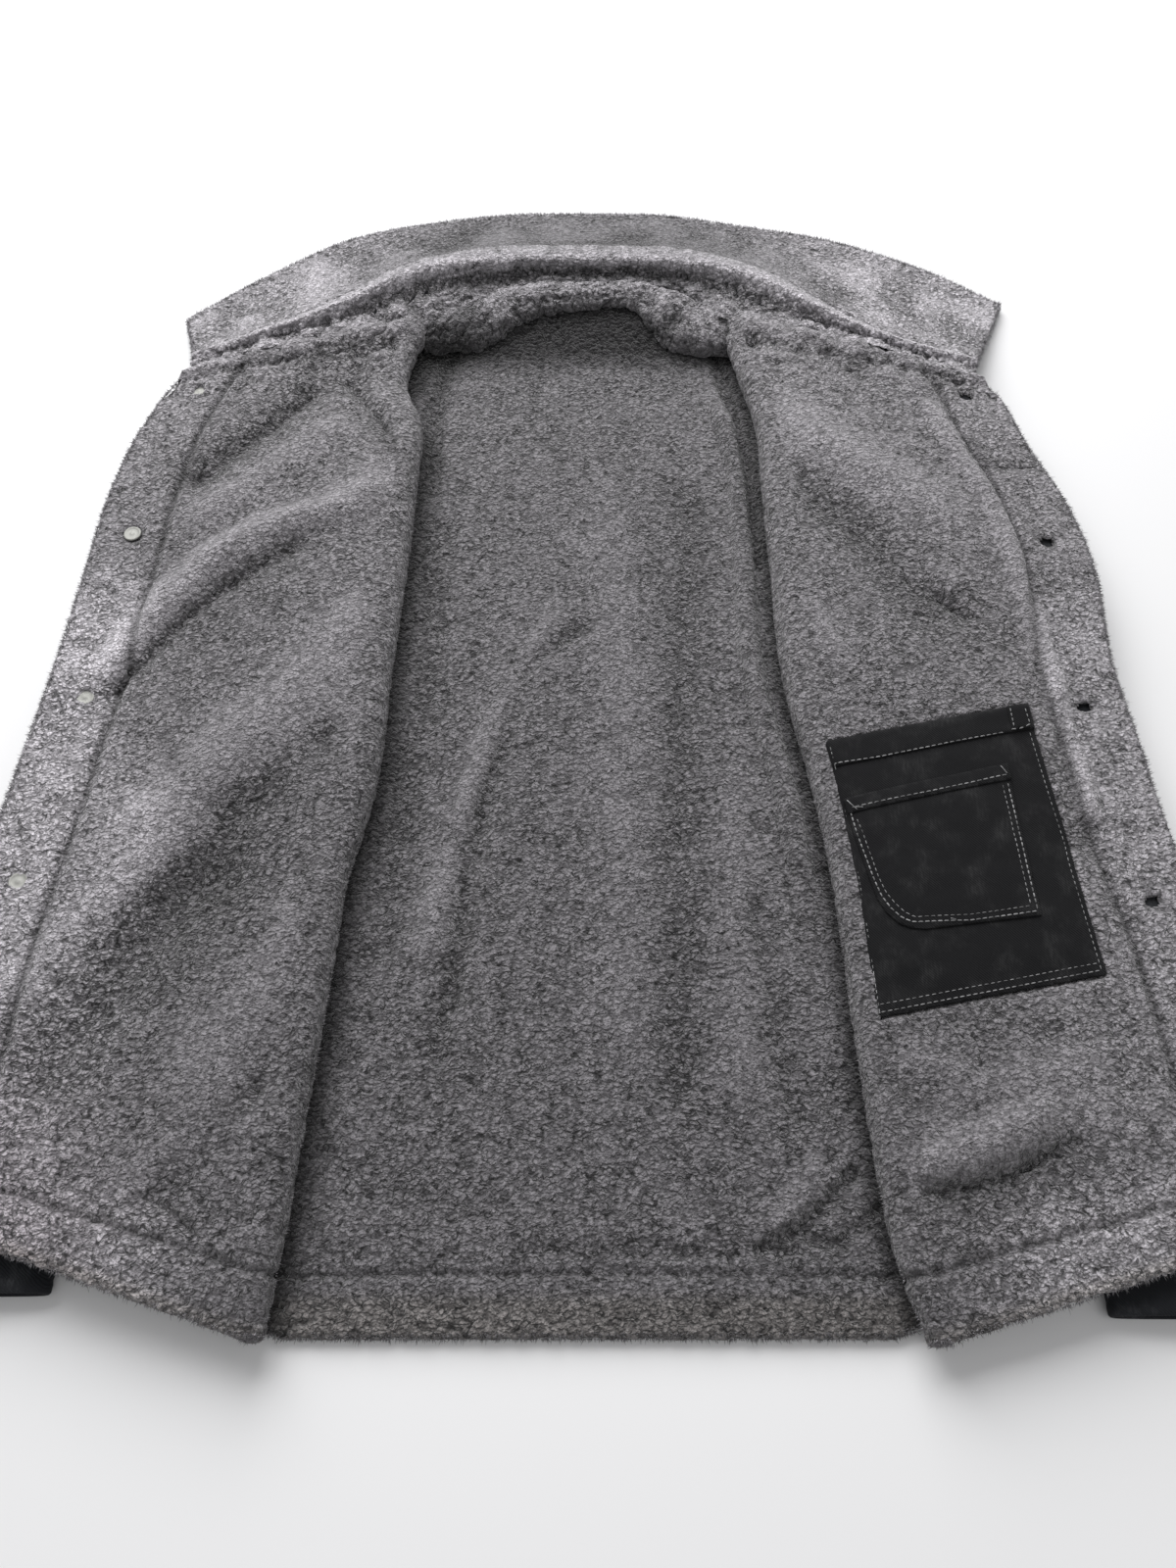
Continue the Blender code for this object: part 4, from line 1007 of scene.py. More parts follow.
# Painted light and shade across the collar by `down`: lighter at the leaf's rim, darker on the leaf towards
# the crest, a painted highlight on the crest and darker just below it.
COLLAR_LIGHT_PLACES = (0.0, 0.1, 0.45, 0.88, 0.95, 1.0, 1.12, 1.30, 1.42, 1.60, 2.1)
COLLAR_LIGHT_AND_SHADE = (1.02, 0.78, 0.60, 0.54, 0.54, 1.22, 1.48, 1.38, 0.95, 1.10, 1.10)


def build_collar():
    along = rolled_places(spaced(-1, 1, 2 * COLLAR_HALF, PILE_STEP), COLLAR_HALF, True, True)
    leaf_ups = spaced(0.0, LEAF_END + 0.08, LEAF_LENGTH * LEAF_END, PILE_STEP)
    leaf = rolled_places(leaf_ups, LEAF_LENGTH, True, False)
    stand = flat_places(spaced(LEAF_END - 0.04, 2.16, 5.4, PILE_STEP * 0.85))

    def raised(points, up, share):
        middle = 1 - ease((np.abs(share) - 0.45) / 0.5)
        crest = 0.55 * hump(up, 1.14, 0.15) * (0.60 + 0.40 * middle)
        valley = -0.30 * hump(up, 0.945, 0.035) * (0.20 + 0.80 * middle)
        under = -0.22 * hump(up, 1.50, 0.16) * middle
        waves = 0.30 * noise(points / (3.6, 6.0, 6.0), 96) + 0.08 * noise(points / 1.8, 96)
        waves = waves * ease(1 - np.abs(up - 0.5) / 0.5)
        lobes = past(up, 1.1, 0.3) * (0.22 * noise(points / 1.6, 97) + 0.12 * noise(points / 0.8, 98))
        return crest + valley + under + waves + lobes

    def rough(points, up, share):
        return 1.0 + 1.1 * past(up, 1.05, 0.25)

    def relief(points, up, share):
        leaf_waves = 0.20 * noise(points / (3.6, 6.0, 6.0), 96)
        return leaf_waves * ease(up / 0.2) * short_of(up, 0.95, 0.2)

    def look(points, up, share):
        middle = np.interp(up, COLLAR_LIGHT_PLACES, COLLAR_LIGHT_AND_SHADE)
        # Painted light: the collar is lighter towards its ends, the right end more so.
        return blend(middle, 1.62 + 0.15 * share, ease((np.abs(share) - 0.25) / 0.5)), PLAIN

    pile_sheet(
        "collar_leaf_pile", collar_point, -1, leaf, along, "collar_leaf_lining", look, raised,
        rough=rough, relief=relief,
    )
    pile_sheet(
        "collar_stand_pile", collar_point, -1, stand, along, "collar_stand_lining", look, raised, rough=rough
    )
    inset = EDGE_INSET / COLLAR_HALF
    shell_along = spaced(-1 + inset, 1 - inset, 2 * COLLAR_HALF, DENIM_STEP)
    leaf_ups = spaced(EDGE_INSET / LEAF_LENGTH, LEAF_END, 11.0, DENIM_STEP)
    denim_sheet("collar_leaf_cloth", collar_point, -1, leaf_ups, shell_along, "collar_leaf_shell")
    stand_ups = spaced(LEAF_END + STAND_SEAM, 2.0, 4.5, DENIM_STEP)
    denim_sheet("collar_stand_cloth", collar_point, -1, stand_ups, shell_along, "collar_stand_shell")
    across = rolled_places(spaced(-11.6, 10.1, 21.7, PILE_STEP * 0.8), 1.0, True, True)

    def band_raised(points, up, share):
        ragged = 0.30 * noise(points / 1.5, 101) + 0.16 * noise(points / 0.7, 102)
        return ragged * (0.4 + 0.6 * ease(up)) - 0.10 * hump(up, 0.62, 0.08)

    def band_look(points, up, x):
        # Painted light and shade: lighter on the band's crest, darker down its lower face, and a painted
        # dark corner at its left end.
        corner = ease((-6.6 - x) / 2.6)
        tone = 1.25 - 0.75 * past(up, 0.45, 0.5)
        return tone * (1 - 0.72 * corner * past(up, 0.15, 0.5)), PLAIN

    def band_rough(points, up, x):
        return 2.0 + 0 * up

    band = rolled_places(spaced(0.0, 1.0, 4.5, PILE_STEP * 0.8), 4.0, False, True)
    pile_sheet(
        "neck_facing_pile", band_point, -1, band, across, "back_neck_facing", band_look, band_raised,
        rough=band_rough,
    )


build_back()
for side in (LEFT, RIGHT):
    build_front(side)
build_collar()

# ---- loose fibres along the edges ----

FIBRE_SPACING = 0.012
FIBRE_RADIUS = 0.026
FIBRE_SIDES = 3
FIBRE_CURL, FIBRE_CRUSH = 0.8, 0.2


def fibres(name, point, turned, edges, look_tone=1.15, reach=0.25):
    """Loose fibre tips standing off the rounded edges. An edge is (start, end, inside, length): (up, share)
    at its two ends, a step (up, share) of about 1 cm towards the cloth, and its length."""
    random = np.random.default_rng(sum(map(ord, name)))
    roots, tips = [], []
    for (from_up, from_share), (to_up, to_share), (in_up, in_share), length in edges:
        count = int(length / FIBRE_SPACING)
        place = random.random(count)
        up, share = blend(from_up, to_up, place), blend(from_share, to_share, place)
        edge = point(up, share)
        inner = point(up + in_up * ROLL, share + in_share * ROLL)
        normal = normals_on(point, up + in_up * ROLL, share + in_share * ROLL, turned)
        out = edge - inner
        out /= np.linalg.norm(out, axis=-1, keepdims=True) + 1e-9
        turn = (random.random(count) * 1.25 - 0.25) * math.pi / 2
        centre = inner + normal * (HALF_GAP + SHERPA - ROLL)
        lean = out * np.cos(turn)[:, None] + normal * np.sin(turn)[:, None]
        root = centre + lean * ROLL * 0.9
        size = reach * (0.35 + 0.65 * random.random(count)) * (0.7 + 0.5 * np.abs(noise(root / 0.5, 140)))
        stray = random.normal(size=(count, 3)) * 0.42
        roots.append(root)
        tips.append(root + (lean + stray) * size[:, None])
    roots, tips = np.concatenate(roots), np.concatenate(tips)
    along = tips - roots
    beside = unit(np.cross(along, random.normal(size=along.shape)))
    third = unit(np.cross(along, beside))
    turns = np.arange(FIBRE_SIDES) * 2 * math.pi / FIBRE_SIDES
    ring = [roots + FIBRE_RADIUS * (beside * math.cos(t) + third * math.sin(t)) for t in turns]
    points = np.stack([*ring, tips], axis=1)
    first = (np.arange(len(roots)) * (FIBRE_SIDES + 1))[:, None]
    faces = np.stack([first + (i, (i + 1) % FIBRE_SIDES, FIBRE_SIDES) for i in range(FIBRE_SIDES)], axis=1)
    mesh = mesh_of(name, points.reshape(-1, 3), faces.reshape(-1, 3))
    colour = np.ones((len(roots), FIBRE_SIDES + 1, 4))
    # The fibres' tone carries painted light and shade like the pile's: lighter on the collar's edge, darker
    # on the back's hem.
    colour[..., :3] = look_tone
    paint(mesh, colour, np.full(colour.shape[:2], FIBRE_CURL), np.full(colour.shape[:2], FIBRE_CRUSH))
    return add_piece(name, mesh, SHERPA_LOOK, "sherpa_lining")


def build_fibres():
    for side in (LEFT, RIGHT):
        foot = FRONT_ROWS[side][0][0]

        def point(up, share):
            return front_share(side, up, share)

        fibres(f"{SIDE_WORDS[side]}_front_fibres", point, side, (
            ((foot, 3.0), (TOP, 3.0), (0.0, -1 / FACING_WIDTH), 56.0),
            ((foot, 0.6), (foot, 3.0), (1.0, 0.0), 22.0),
            ((foot, 0.45), (TOP, 0.45), (0.0, 0.4), 40.0),
        ))
    fibres("collar_fibres", collar_point, -1, (
        ((0.0, -1.0), (0.0, 1.0), (1 / LEAF_LENGTH, 0.0), 66.0),
        ((0.0, -1.0), (1.2, -1.0), (0.0, 1 / COLLAR_HALF), 12.0),
        ((0.0, 1.0), (1.2, 1.0), (0.0, -1 / COLLAR_HALF), 12.0),
    ), 1.5)
    hem = ((0.0, 0.0), (0.0, 1.0), (1 / BACK_LENGTH, 0.0), 29.0)
    fibres("back_hem_fibres", back_surface(0.0), 1, (hem,), 0.8)


build_fibres()

# ---- pocket ----

SMALL_POCKET = ((23.8, 20.3), (23.4, 29.5), (14.1, 27.3), (14.5, 25.2), (15.1, 22.4))
SMALL_CORNER = ((15.35, 21.3), (15.75, 20.5), (16.3, 19.9), (16.95, 19.62), (17.7, 19.55))
SMALL_OUTLINE = SMALL_POCKET + SMALL_CORNER
POCKET_HEM = ((12.7, 29.2), (25.45, 32.0), (25.3, 33.6), (12.6, 30.9))
SMALL_HEM = ((14.3, 26.4), (23.5, 28.5), (23.4, 29.5), (14.1, 27.3))
ABOVE_MOUTH = ((0.0, 28.2), (12.6, 30.9), (25.3, 33.6), (40.0, 36.7), (40.0, 99.0), (0.0, 99.0))
PEN_TAB = ((24.1, 31.8), (25.2, 32.0), (25.1, 33.5), (24.0, 33.3))
HEM_CLOTH = 0.10
LAYER_GAP = 0.02
SETTLE_ROUNDS = 12  # rounds that settle how far up the front a place lies
STITCH_RISE = 0.012  # height of a stitch's middle over its cloth
STITCH_SIDES = 6
# Each ring of a stitch: its place as a share of the length, its size and its rise in half widths.
STITCH_RINGS = ((-0.5, 0.35, -0.6), (-0.3, 1.0, 0.2), (0.3, 1.0, 0.2), (0.5, 0.35, -0.6))
# Each kind of stitch: spacing, length and width.
STITCH_KINDS = {
    "mouth": (0.36, 0.27, 0.07),
    "tab": (0.30, 0.22, 0.055),
    "edge": (0.34, 0.22, 0.045),
    "bottom": (0.34, 0.25, 0.06),
    "outer": (0.33, 0.26, 0.075),
    "inner": (0.33, 0.22, 0.045),
    "tack": (0.09, 0.20, 0.06),
    "side": (0.30, 0.22, 0.05),
    "corner": (0.08, 0.20, 0.08),
}
OUTER_CORNER = ((14.62, 25.2), (15.25, 22.5), (15.55, 21.45), (15.95, 20.75), (16.45, 20.2), (17.05, 19.92))
INNER_CORNER = ((14.92, 25.3), (15.5, 22.6), (15.8, 21.65), (16.2, 21.0), (16.65, 20.5), (17.15, 20.2))
# Each piece's runs of stitches: the cloth that they lie on, their kind and their path.
STITCHES = (
    ("pocket_hem_stitches", (
        ("pocket_hem", "mouth", ((12.9, 29.45), (16.5, 30.05), (20.5, 30.95), (23.6, 31.62))),
        ("pen_tab", "mouth", ((23.95, 31.75), (24.6, 31.85), (25.25, 32.2))),
        ("pen_tab", "tab", ((24.2, 31.95), (24.15, 33.2))),
    )),
    ("pocket_edge_stitches", (
        ("pocket_panel", "edge", ((12.95, 28.9), (14.4, 15.0))),
        ("pocket_panel", "edge", ((25.15, 31.8), (26.45, 17.3))),
        ("pocket_panel", "bottom", ((14.5, 15.02), (20.0, 16.05), (26.4, 17.3))),
        ("pocket_panel", "edge", ((14.45, 15.42), (20.0, 16.45), (26.35, 17.7))),
    )),
    ("small_pocket_stitches", (
        ("small_pocket_hem", "mouth", ((14.6, 26.75), (19.0, 27.7), (23.3, 28.75))),
        ("small_pocket", "outer", ((14.35, 26.9), *OUTER_CORNER, (20.0, 19.98), (23.6, 20.5))),
        ("small_pocket", "inner", ((14.7, 26.1), *INNER_CORNER, (20.0, 20.3), (23.3, 20.8))),
        ("small_pocket", "outer", ((23.62, 20.6), (23.28, 28.3))),
        ("small_pocket", "inner", ((23.3, 20.9), (22.98, 28.2))),
    )),
    ("bar_tacks", (
        ("small_pocket_hem", "tack", ((14.25, 27.2), (14.75, 26.6))),
        ("small_pocket_hem", "tack", ((14.5, 26.75), (15.1, 26.72))),
        ("small_pocket_hem", "tack", ((23.0, 29.3), (23.3, 28.8))),
        ("pocket_hem", "side", ((12.75, 29.2), (12.85, 30.7))),
        ("pen_tab", "side", ((25.0, 33.2), (25.15, 32.2))),
        ("small_pocket", "corner", ((19.0, 20.1), (19.3, 20.0))),
    )),
)


def front_at(side, x, y):
    """The outer surface of a front's folded-out half at places in plan, x counted outwards, and the normals
    there."""
    rows = FRONT_ROWS[side]
    x, y = np.asarray(x, float), np.asarray(y, float)
    up = y.copy()
    for _ in range(SETTLE_ROUNDS):
        fold_x, edge_x, edge_y, roll = (
            column(rows, FRONT_COLUMNS, name, up) for name in ("fold_x", "edge_x", "edge_y", "roll")
        )
        turn_x = fold_x + HALF_GAP + SHERPA + roll
        shown = np.clip((x - turn_x) / (edge_x - turn_x), 0.0, 1.0)
        up = y - (edge_y - up) * shown

    def point(up, across):
        found = front_point(side, up, across)
        found[..., 2] += folded(found, FRONT_FOLDS)
        return found

    return point(up, 1 + shown), normals_on(point, up, 1 + shown, side)


def panel_lift(x, y):
    """Height of the pocket panel's underside over the seam surface: stitched down at its sides, loose at
    its mouth."""
    inside = inside_of(x, y, POCKET)
    mouth = inside_of(x, y, ABOVE_MOUTH)
    place = np.stack([x, y, 0 * x], axis=-1)
    puff = 0.16 * ease(inside / 2.6) + 0.05 * noise(place / (3.2, 1.6, 1.0), 120) * ease(inside / 1.0)
    return 0.36 + puff + 0.14 * ease((mouth + 2.0) / 2.0) * ease(inside_of(x, y, POCKET) / 0.5 + 0.6)


def small_lift(x, y):
    inside = inside_of(x, y, SMALL_OUTLINE)
    place = np.stack([x, y, 0 * x], axis=-1)
    puff = 0.10 * ease(inside / 1.6) + 0.035 * noise(place / (2.2, 1.3, 1.0), 121) * ease(inside / 0.6)
    return panel_lift(x, y) + POCKET_CLOTH + LAYER_GAP + puff


def hem_lift(x, y):
    return panel_lift(x, y) + POCKET_CLOTH + LAYER_GAP


def tab_lift(x, y):
    return hem_lift(x, y) + HEM_CLOTH + LAYER_GAP


def small_hem_lift(x, y):
    return small_lift(x, y) + POCKET_CLOTH + LAYER_GAP


def patch(name, corners, lift, thick, node_name):
    """A piece lying on the right front, cut to an outline in plan from a fine grid."""
    low_x, low_y = np.min(corners, axis=0) - 0.3
    high_x, high_y = np.max(corners, axis=0) + 0.3
    step = 0.18
    y, x = np.meshgrid(np.arange(low_y, high_y, step), np.arange(low_x, high_x, step), indexing="ij")
    mesh = grid_mesh(name, np.stack([x, y, 0 * x], axis=-1))
    cut = bmesh.new()
    cut.from_mesh(mesh)
    for (from_x, from_y), (to_x, to_y) in zip(corners, corners[1:] + corners[:1]):
        bmesh.ops.bisect_plane(
            cut, geom=[*cut.verts, *cut.edges, *cut.faces], dist=1e-6,
            plane_co=(from_x * CM, (from_y - MIDDLE_Y) * CM, 0.0),
            plane_no=(to_y - from_y, from_x - to_x, 0.0), clear_outer=True,
        )
    bmesh.ops.remove_doubles(cut, verts=cut.verts, dist=1e-5)
    plan = np.array([vertex.co for vertex in cut.verts]) / CM
    x, y = plan[:, 0], plan[:, 1] + MIDDLE_Y
    surface, normal = front_at(RIGHT, x, y)
    inside = inside_of(x, y, corners)
    soft_edge = 0.04 * (1 - ease(inside / 0.25))
    placed = surface + normal * (lift(x, y) - soft_edge)[:, None]
    for vertex, place in zip(cut.verts, in_metres(placed)):
        vertex.co = place
    cut.to_mesh(mesh)
    cut.free()
    mesh.shade_smooth()
    piece = add_piece(name, mesh, POCKET_LOOK, "pocket_denim", node_name)
    wall = piece.modifiers.new("wall", "SOLIDIFY")
    wall.thickness = thick * CM
    wall.offset = 1.0


def stitch_run(path, lift, cloth, spacing, length, width):
    """Stitches along a path in plan on the right front, as points and faces of small tapered prisms."""
    path = np.array(path, float)
    along = np.concatenate([[0], np.cumsum(np.linalg.norm(np.diff(path, axis=0), axis=1))])
    count = max(1, int(along[-1] / spacing))
    centres = (np.arange(count) + 0.5) * along[-1] / count
    ends = []
    for towards in (-1, 1):
        x, y = (np.interp(centres + towards * length / 2, along, path[:, axis]) for axis in (0, 1))
        surface, normal = front_at(RIGHT, x, y)
        ends.append(surface + normal * (lift(x, y) + cloth + STITCH_RISE)[:, None])
    middle, run = (ends[0] + ends[1]) / 2, ends[1] - ends[0]
    beside = unit(np.cross(normal, run))
    rings = []
    for place, size, rise in STITCH_RINGS:
        for turn in np.arange(STITCH_SIDES) * 2 * math.pi / STITCH_SIDES:
            offset = beside * math.cos(turn) * size + normal * (math.sin(turn) * size * 0.8 + rise)
            rings.append(middle + run * place + offset * width / 2)
    points = np.stack(rings, axis=1)
    faces = []
    last = (len(STITCH_RINGS) - 1) * STITCH_SIDES
    for low in range(0, last, STITCH_SIDES):
        high = low + STITCH_SIDES
        for i in range(STITCH_SIDES):
            j = (i + 1) % STITCH_SIDES
            faces.append((low + i, low + j, high + j, high + i))
    faces += [(3, 2, 1, 0), (5, 4, 3, 0)]
    faces += [(last, last + 1, last + 2, last + 3), (last, last + 3, last + 4, last + 5)]
    faces = np.array(faces)[None] + (np.arange(count) * len(rings))[:, None, None]
    return points.reshape(-1, 3), faces.reshape(-1, 4)


def stitches(name, runs):
    points, faces, start = [], [], 0
    for run_points, run_faces in runs:
        points.append(run_points)
        faces.append(run_faces + start)
        start += len(run_points)
    mesh = mesh_of(name, np.concatenate(points), np.concatenate(faces))
    add_piece(name, mesh, THREAD_LOOK, "pocket_denim")


def build_pocket():
    layers = {
        "pocket_panel": (POCKET, panel_lift, POCKET_CLOTH),
        "pocket_hem": (POCKET_HEM, hem_lift, HEM_CLOTH),
        "small_pocket": (SMALL_OUTLINE, small_lift, POCKET_CLOTH),
        "small_pocket_hem": (SMALL_HEM, small_hem_lift, HEM_CLOTH),
        "pen_tab": (PEN_TAB, tab_lift, HEM_CLOTH),
    }
    for node_name, (corners, lift, cloth) in layers.items():
        patch(f"{node_name}_cloth", corners, lift, cloth, node_name)
    for name, runs in STITCHES:
        stitches(name, [stitch_run(path, *layers[on][1:], *STITCH_KINDS[kind]) for on, kind, path in runs])


# ---- buttons ----


TURNED_SIDES = 40
# The radius and height of each ring of a button's back and of its cap.
BACK_PROFILE = (
    (0.40, 0.0), (0.52, 0.02), (0.56, 0.07), (0.53, 0.13), (0.46, 0.15),
    (0.42, 0.12), (0.20, 0.11), (0.10, 0.15), (0.04, 0.155),
)
CAP_PROFILE = (
    (0.60, 0.0), (0.80, -0.02), (0.85, -0.10), (0.82, -0.20),
    (0.66, -0.30), (0.58, -0.28), (0.30, -0.34), (0.05, -0.36),
)


def lathe(name, profile, matrix, node_name):
    """A turned disc from (radius, height) pairs in centimetres, closed at both ends."""
    made = bmesh.new()
    rings = []
    turns = np.arange(TURNED_SIDES) * 2 * math.pi / TURNED_SIDES
    for radius, height in profile:
        places = [(radius * math.cos(t) * CM, radius * math.sin(t) * CM, height * CM) for t in turns]
        rings.append([made.verts.new(place) for place in places])
    for low, high in zip(rings, rings[1:]):
        for i in range(TURNED_SIDES):
            j = (i + 1) % TURNED_SIDES
            made.faces.new((low[i], low[j], high[j], high[i]))
    made.faces.new(rings[0][::-1])
    made.faces.new(rings[-1])
    mesh = bpy.data.meshes.new(name)
    made.to_mesh(mesh)
    made.free()
    mesh.transform(matrix)
    mesh.shade_smooth()
    add_piece(name, mesh, METAL_LOOK, "tack_metal", node_name)


def build_buttons():
    for number, (up, sink) in enumerate(zip(BUTTON_UPS, TACK_SINK), start=1):
        centre, across, along, out = placket_axes(LEFT, up)
        axes = Matrix((across, along, out)).transposed().to_4x4()
        origin = Vector((centre - (0, MIDDLE_Y, 0)) * CM)
        place = Matrix.Translation(origin + out * sink * CM) @ axes
        lathe(f"tack_back_{number}", BACK_PROFILE, place, f"button_back_{number}")
        drop = HALF_GAP + DENIM + GAP
        place = Matrix.Translation(origin - out * drop * CM) @ axes
        lathe(f"tack_cap_{number}", CAP_PROFILE[::-1], place, f"button_cap_{number}")


# ---- sleeves ----

SLEEVE_SIDES = 64
SLEEVE_TOP_Y = 56.6
SLEEVE_STEP = 0.5
CUFF_STEP = 0.25
# The cuff's rounded end: how far each ring is in from its sides and from its end.
CUFF_LIP = ((0.02, 0.12), (0.10, 0.03), (0.22, 0.0), (0.34, 0.03), (0.40, 0.12))


def flat_ring(centre_x, half_x, y, low_z, thick):
    turns = np.arange(SLEEVE_SIDES) * 2 * math.pi / SLEEVE_SIDES
    x = np.sign(np.cos(turns)) * np.abs(np.cos(turns)) ** 0.55
    z = np.sign(np.sin(turns)) * np.abs(np.sin(turns)) ** 0.70
    return np.stack([centre_x + half_x * x, y + 0 * x, low_z + thick * (1 + z) / 2], axis=-1)


def tube(name, rings, open_ends, node_name):
    """Cloth through rings of points: a skin open at both ends, or a wall whose last ring joins its first."""
    rings = np.array(rings)
    corner = np.arange(len(rings) * SLEEVE_SIDES).reshape(len(rings), SLEEVE_SIDES)
    near, far = (corner[:-1], corner[1:]) if open_ends else (corner, np.roll(corner, -1, axis=0))
    faces = np.stack([near, np.roll(near, -1, 1), np.roll(far, -1, 1), far], -1).reshape(-1, 4)
    mesh = mesh_of(name, rings.reshape(-1, 3), faces)
    made = bmesh.new()
    made.from_mesh(mesh)
    bmesh.ops.recalc_face_normals(made, faces=made.faces)
    made.to_mesh(mesh)
    made.free()
    mesh.shade_smooth()
    add_piece(name, mesh, SHELL_LOOK, "shell_denim", node_name)


def crumpled(rings, amount, seed):
    """Rings with soft creases on their upper side; what rests on the ground stays flat."""
    rings = np.array(rings)
    upper = ease((rings[..., 2] - 0.25) / 0.5)
    rings[..., 2] += amount * upper * noise(rings / (1.9, 3.4, 3.0), seed) - amount * 0.6 * upper
    return rings


def build_sleeve(side):
    word = SIDE_WORDS[side]
    rings = []
    for y in np.arange(SLEEVE_ROWS[-1][0], SLEEVE_TOP_Y, SLEEVE_STEP):
        inner_x, outer_x, thick = (
            column(SLEEVE_ROWS[::-1], SLEEVE_COLUMNS, name, y) for name in SLEEVE_COLUMNS[1:]
        )
        centre_x = side * ((inner_x + outer_x) / 2 + SLEEVE_SHIFT[side])
        rings.append(flat_ring(centre_x, (outer_x - inner_x) / 2, y, 0.0, thick))
    tube(f"{word}_sleeve_cloth", crumpled(rings, 0.16, 130), True, f"{word}_sleeve")
    centre, half, end_y = side * CUFF_CENTRE_X[side], CUFF_HALF[side], CUFF_END_Y[side]
    bore_half, bore = half - CUFF_WALL, CUFF_THICK - 2 * CUFF_WALL
    cuff = [flat_ring(centre, half - 0.2, CUFF_TOP_Y, 0.06, CUFF_THICK - 0.12)]
    for y in np.arange(CUFF_TOP_Y - 0.3, end_y + 0.25, -CUFF_STEP):
        groove = 0.05 * hump(y - end_y, 0.75, 0.12) + 0.05 * hump(y - CUFF_TOP_Y, -0.7, 0.12)
        cuff.append(flat_ring(centre, half - groove, y, groove * 0.3, CUFF_THICK - groove * 1.6))
    for shrink, drop in CUFF_LIP:
        cuff.append(flat_ring(centre, half - shrink, end_y + drop, shrink * 0.8, CUFF_THICK - 1.6 * shrink))
    cuff.append(flat_ring(centre, bore_half, end_y + 0.3, CUFF_WALL, bore))
    cuff.append(flat_ring(centre, bore_half, CUFF_TOP_Y - 0.1, CUFF_WALL, bore))
    tube(f"{word}_cuff_cloth", crumpled(cuff, 0.10, 131), False, f"{word}_cuff")


build_pocket()
build_buttons()
for side in (LEFT, RIGHT):
    build_sleeve(side)

# ---- the cut of each cloth piece ----


def outline_area(corners):
    x, y = np.array(corners).T
    return abs(np.dot(x, np.roll(y, -1)) - np.dot(y, np.roll(x, -1))) / 2 * CM * CM


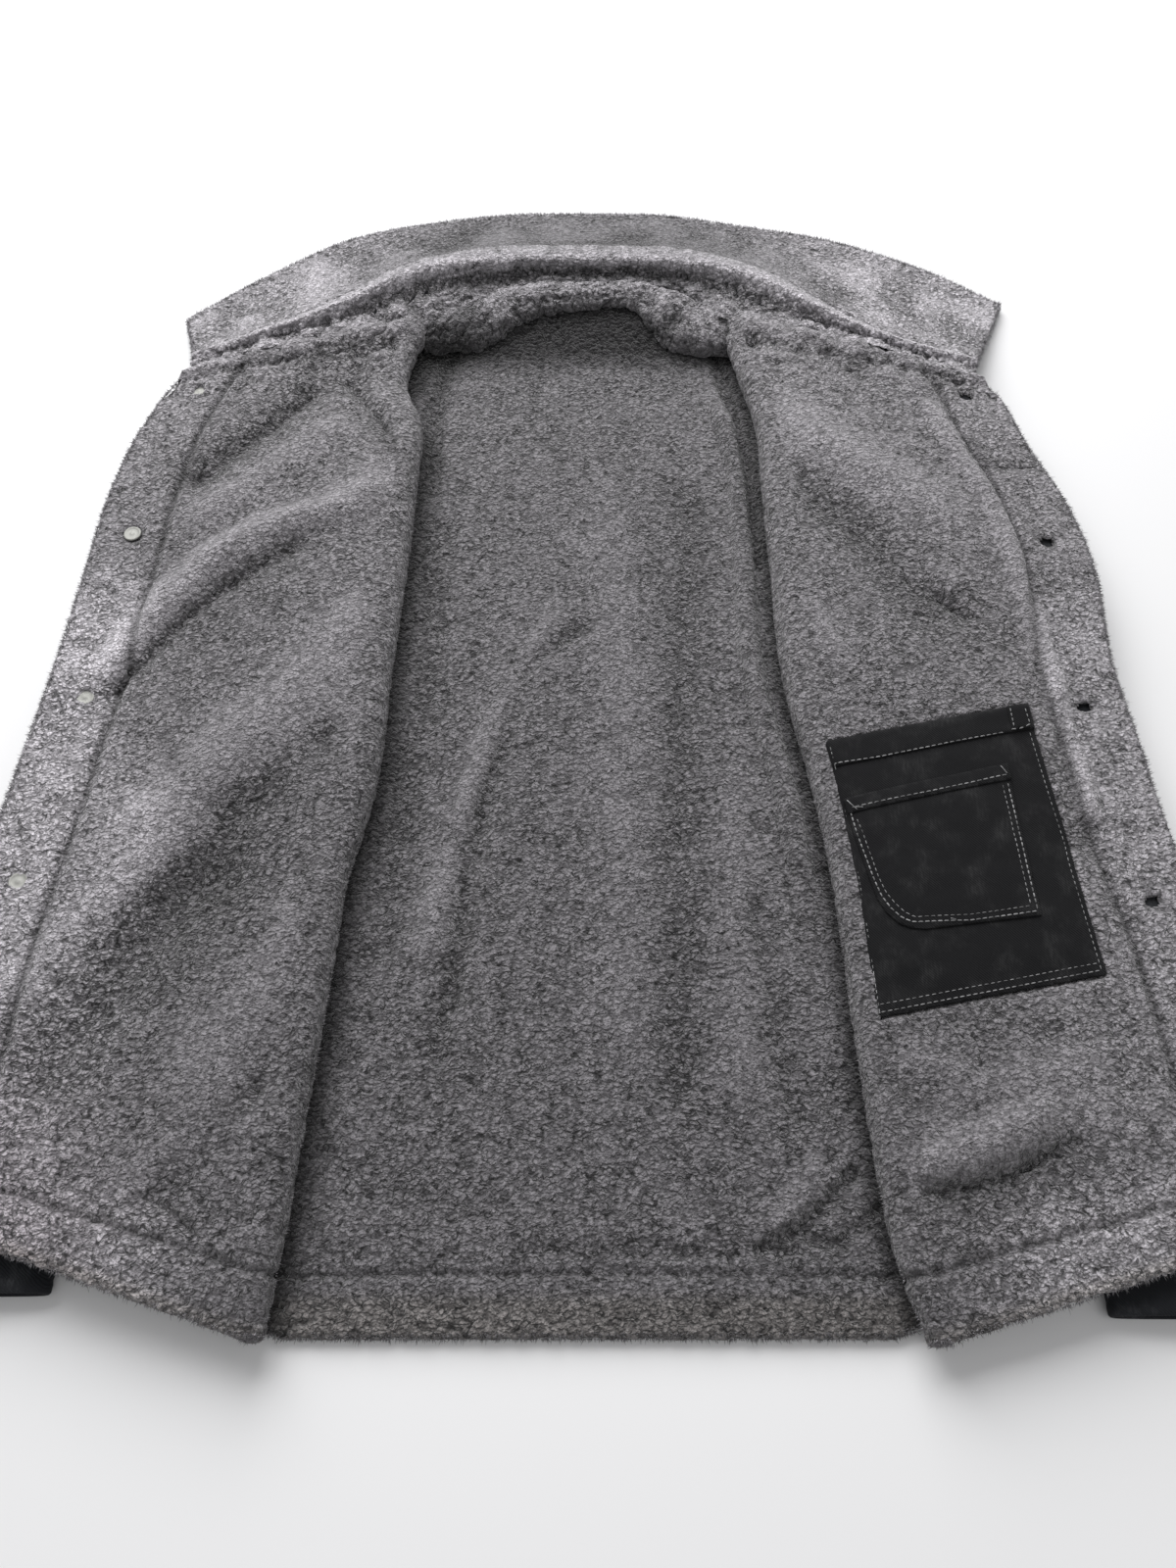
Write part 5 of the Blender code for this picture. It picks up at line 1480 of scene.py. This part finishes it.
# Flat width and length in metres, the area where the cut isn't a rectangle, how it lies, and on what.
CUTS = (
    ("back_shell_cloth", 0.508, 0.700, 0.317, "laid", ()),
    ("back_lining_pile", 0.508, 0.671, 0.308, "laid", ("back_shell_cloth",)),
    ("back_hem_pile", 0.490, 0.029, None, "laid", ("back_shell_cloth",)),
    ("left_front_cloth", 0.345, 0.665, 0.193, "folded", ("left_front_pile",)),
    ("left_front_pile", 0.300, 0.635, 0.164, "folded", ("back_lining_pile",)),
    ("left_facing_pile", 0.044, 0.600, 0.0254, "folded", ("left_front_cloth",)),
    ("left_hem_pile", 0.340, 0.029, 0.0086, "folded", ("left_front_cloth",)),
    ("right_front_cloth", 0.345, 0.665, 0.188, "folded", ("right_front_pile",)),
    ("right_front_pile", 0.300, 0.635, 0.160, "folded", ("back_lining_pile",)),
    ("right_facing_pile", 0.044, 0.600, 0.0254, "folded", ("right_front_cloth",)),
    ("right_hem_pile", 0.340, 0.029, 0.0082, "folded", ("right_front_cloth",)),
    ("collar_leaf_cloth", 0.620, 0.118, 0.060, "laid", ()),
    ("collar_leaf_pile", 0.620, 0.120, 0.064, "laid", ("collar_leaf_cloth",)),
    ("collar_stand_cloth", 0.550, 0.024, 0.0092, "laid", ("back_lining_pile",)),
    ("collar_stand_pile", 0.550, 0.032, 0.0138, "laid", ("collar_stand_cloth",)),
    ("neck_facing_pile", 0.217, 0.050, None, "laid", ("back_lining_pile",)),
    ("pocket_panel_cloth", 0.134, 0.170, outline_area(POCKET), "laid", ("right_front_pile",)),
    ("pocket_hem_cloth", 0.130, 0.020, outline_area(POCKET_HEM), "laid", ("pocket_panel_cloth",)),
    ("small_pocket_cloth", 0.093, 0.100, outline_area(SMALL_OUTLINE), "laid", ("pocket_panel_cloth",)),
    ("small_pocket_hem_cloth", 0.098, 0.012, outline_area(SMALL_HEM), "laid", ("small_pocket_cloth",)),
    ("pen_tab_cloth", 0.013, 0.016, outline_area(PEN_TAB), "laid", ("pocket_hem_cloth",)),
    ("left_sleeve_cloth", 0.160, 0.490, None, "laid", ()),
    ("right_sleeve_cloth", 0.160, 0.490, None, "laid", ()),
    ("left_cuff_cloth", 0.235, 0.055, None, "laid", ()),
    ("right_cuff_cloth", 0.255, 0.065, None, "laid", ()),
)
for name, width, length, area, held, rests_on in CUTS:
    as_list(rests_on)

# ---- studio ----


FLOOR = ((-6, -6, 0), (6, -6, 0), (6, 8, 0), (-6, 8, 0))
WORLD_STRENGTH = 0.30
# Each lamp's place, its size in metres and its power in watts. Both face the middle of the jacket.
LAMPS = (
    ("high_soft", (-0.45, 1.30, 1.35), 2.0, 55.0),
    ("front_fill", (0.5, -1.2, 2.2), 2.0, 9.0),
)
CAMERA_PLACE = (0.0, -0.4842, 0.6665)
CAMERA_TILT = 30.0  # degrees from straight down
LENS = 30.22
SENSOR = 36.0


def build_studio():
    scene = bpy.context.scene
    floor = bpy.data.meshes.new("floor")
    floor.from_pydata(FLOOR, [], [(0, 1, 2, 3)])
    floor.materials.append(new_material("floor", (0.86, 0.86, 0.87), 0.7)[0])
    stage = bpy.data.objects.new("floor", floor)
    scene.collection.objects.link(stage)
    world = bpy.data.worlds.new("studio")
    world.use_nodes = True
    background = world.node_tree.nodes["Background"].inputs
    background["Color"].default_value = (1.0, 1.0, 1.0, 1.0)
    background["Strength"].default_value = WORLD_STRENGTH
    scene.world = world
    for name, place, size, power in LAMPS:
        light = bpy.data.lights.new(name, "AREA")
        light.size = size
        light.energy = power
        lamp = bpy.data.objects.new(name, light)
        lamp.location = place
        lamp.rotation_euler = (-Vector(place)).to_track_quat("-Z", "Y").to_euler()
        scene.collection.objects.link(lamp)
    camera = bpy.data.cameras.new("camera")
    camera.lens = LENS
    camera.sensor_width = SENSOR
    view = bpy.data.objects.new("camera", camera)
    view.location = CAMERA_PLACE
    view.rotation_euler = (math.radians(CAMERA_TILT), 0.0, 0.0)
    scene.collection.objects.link(view)
    scene.camera = view
    scene.view_settings.view_transform = "Standard"


build_studio()
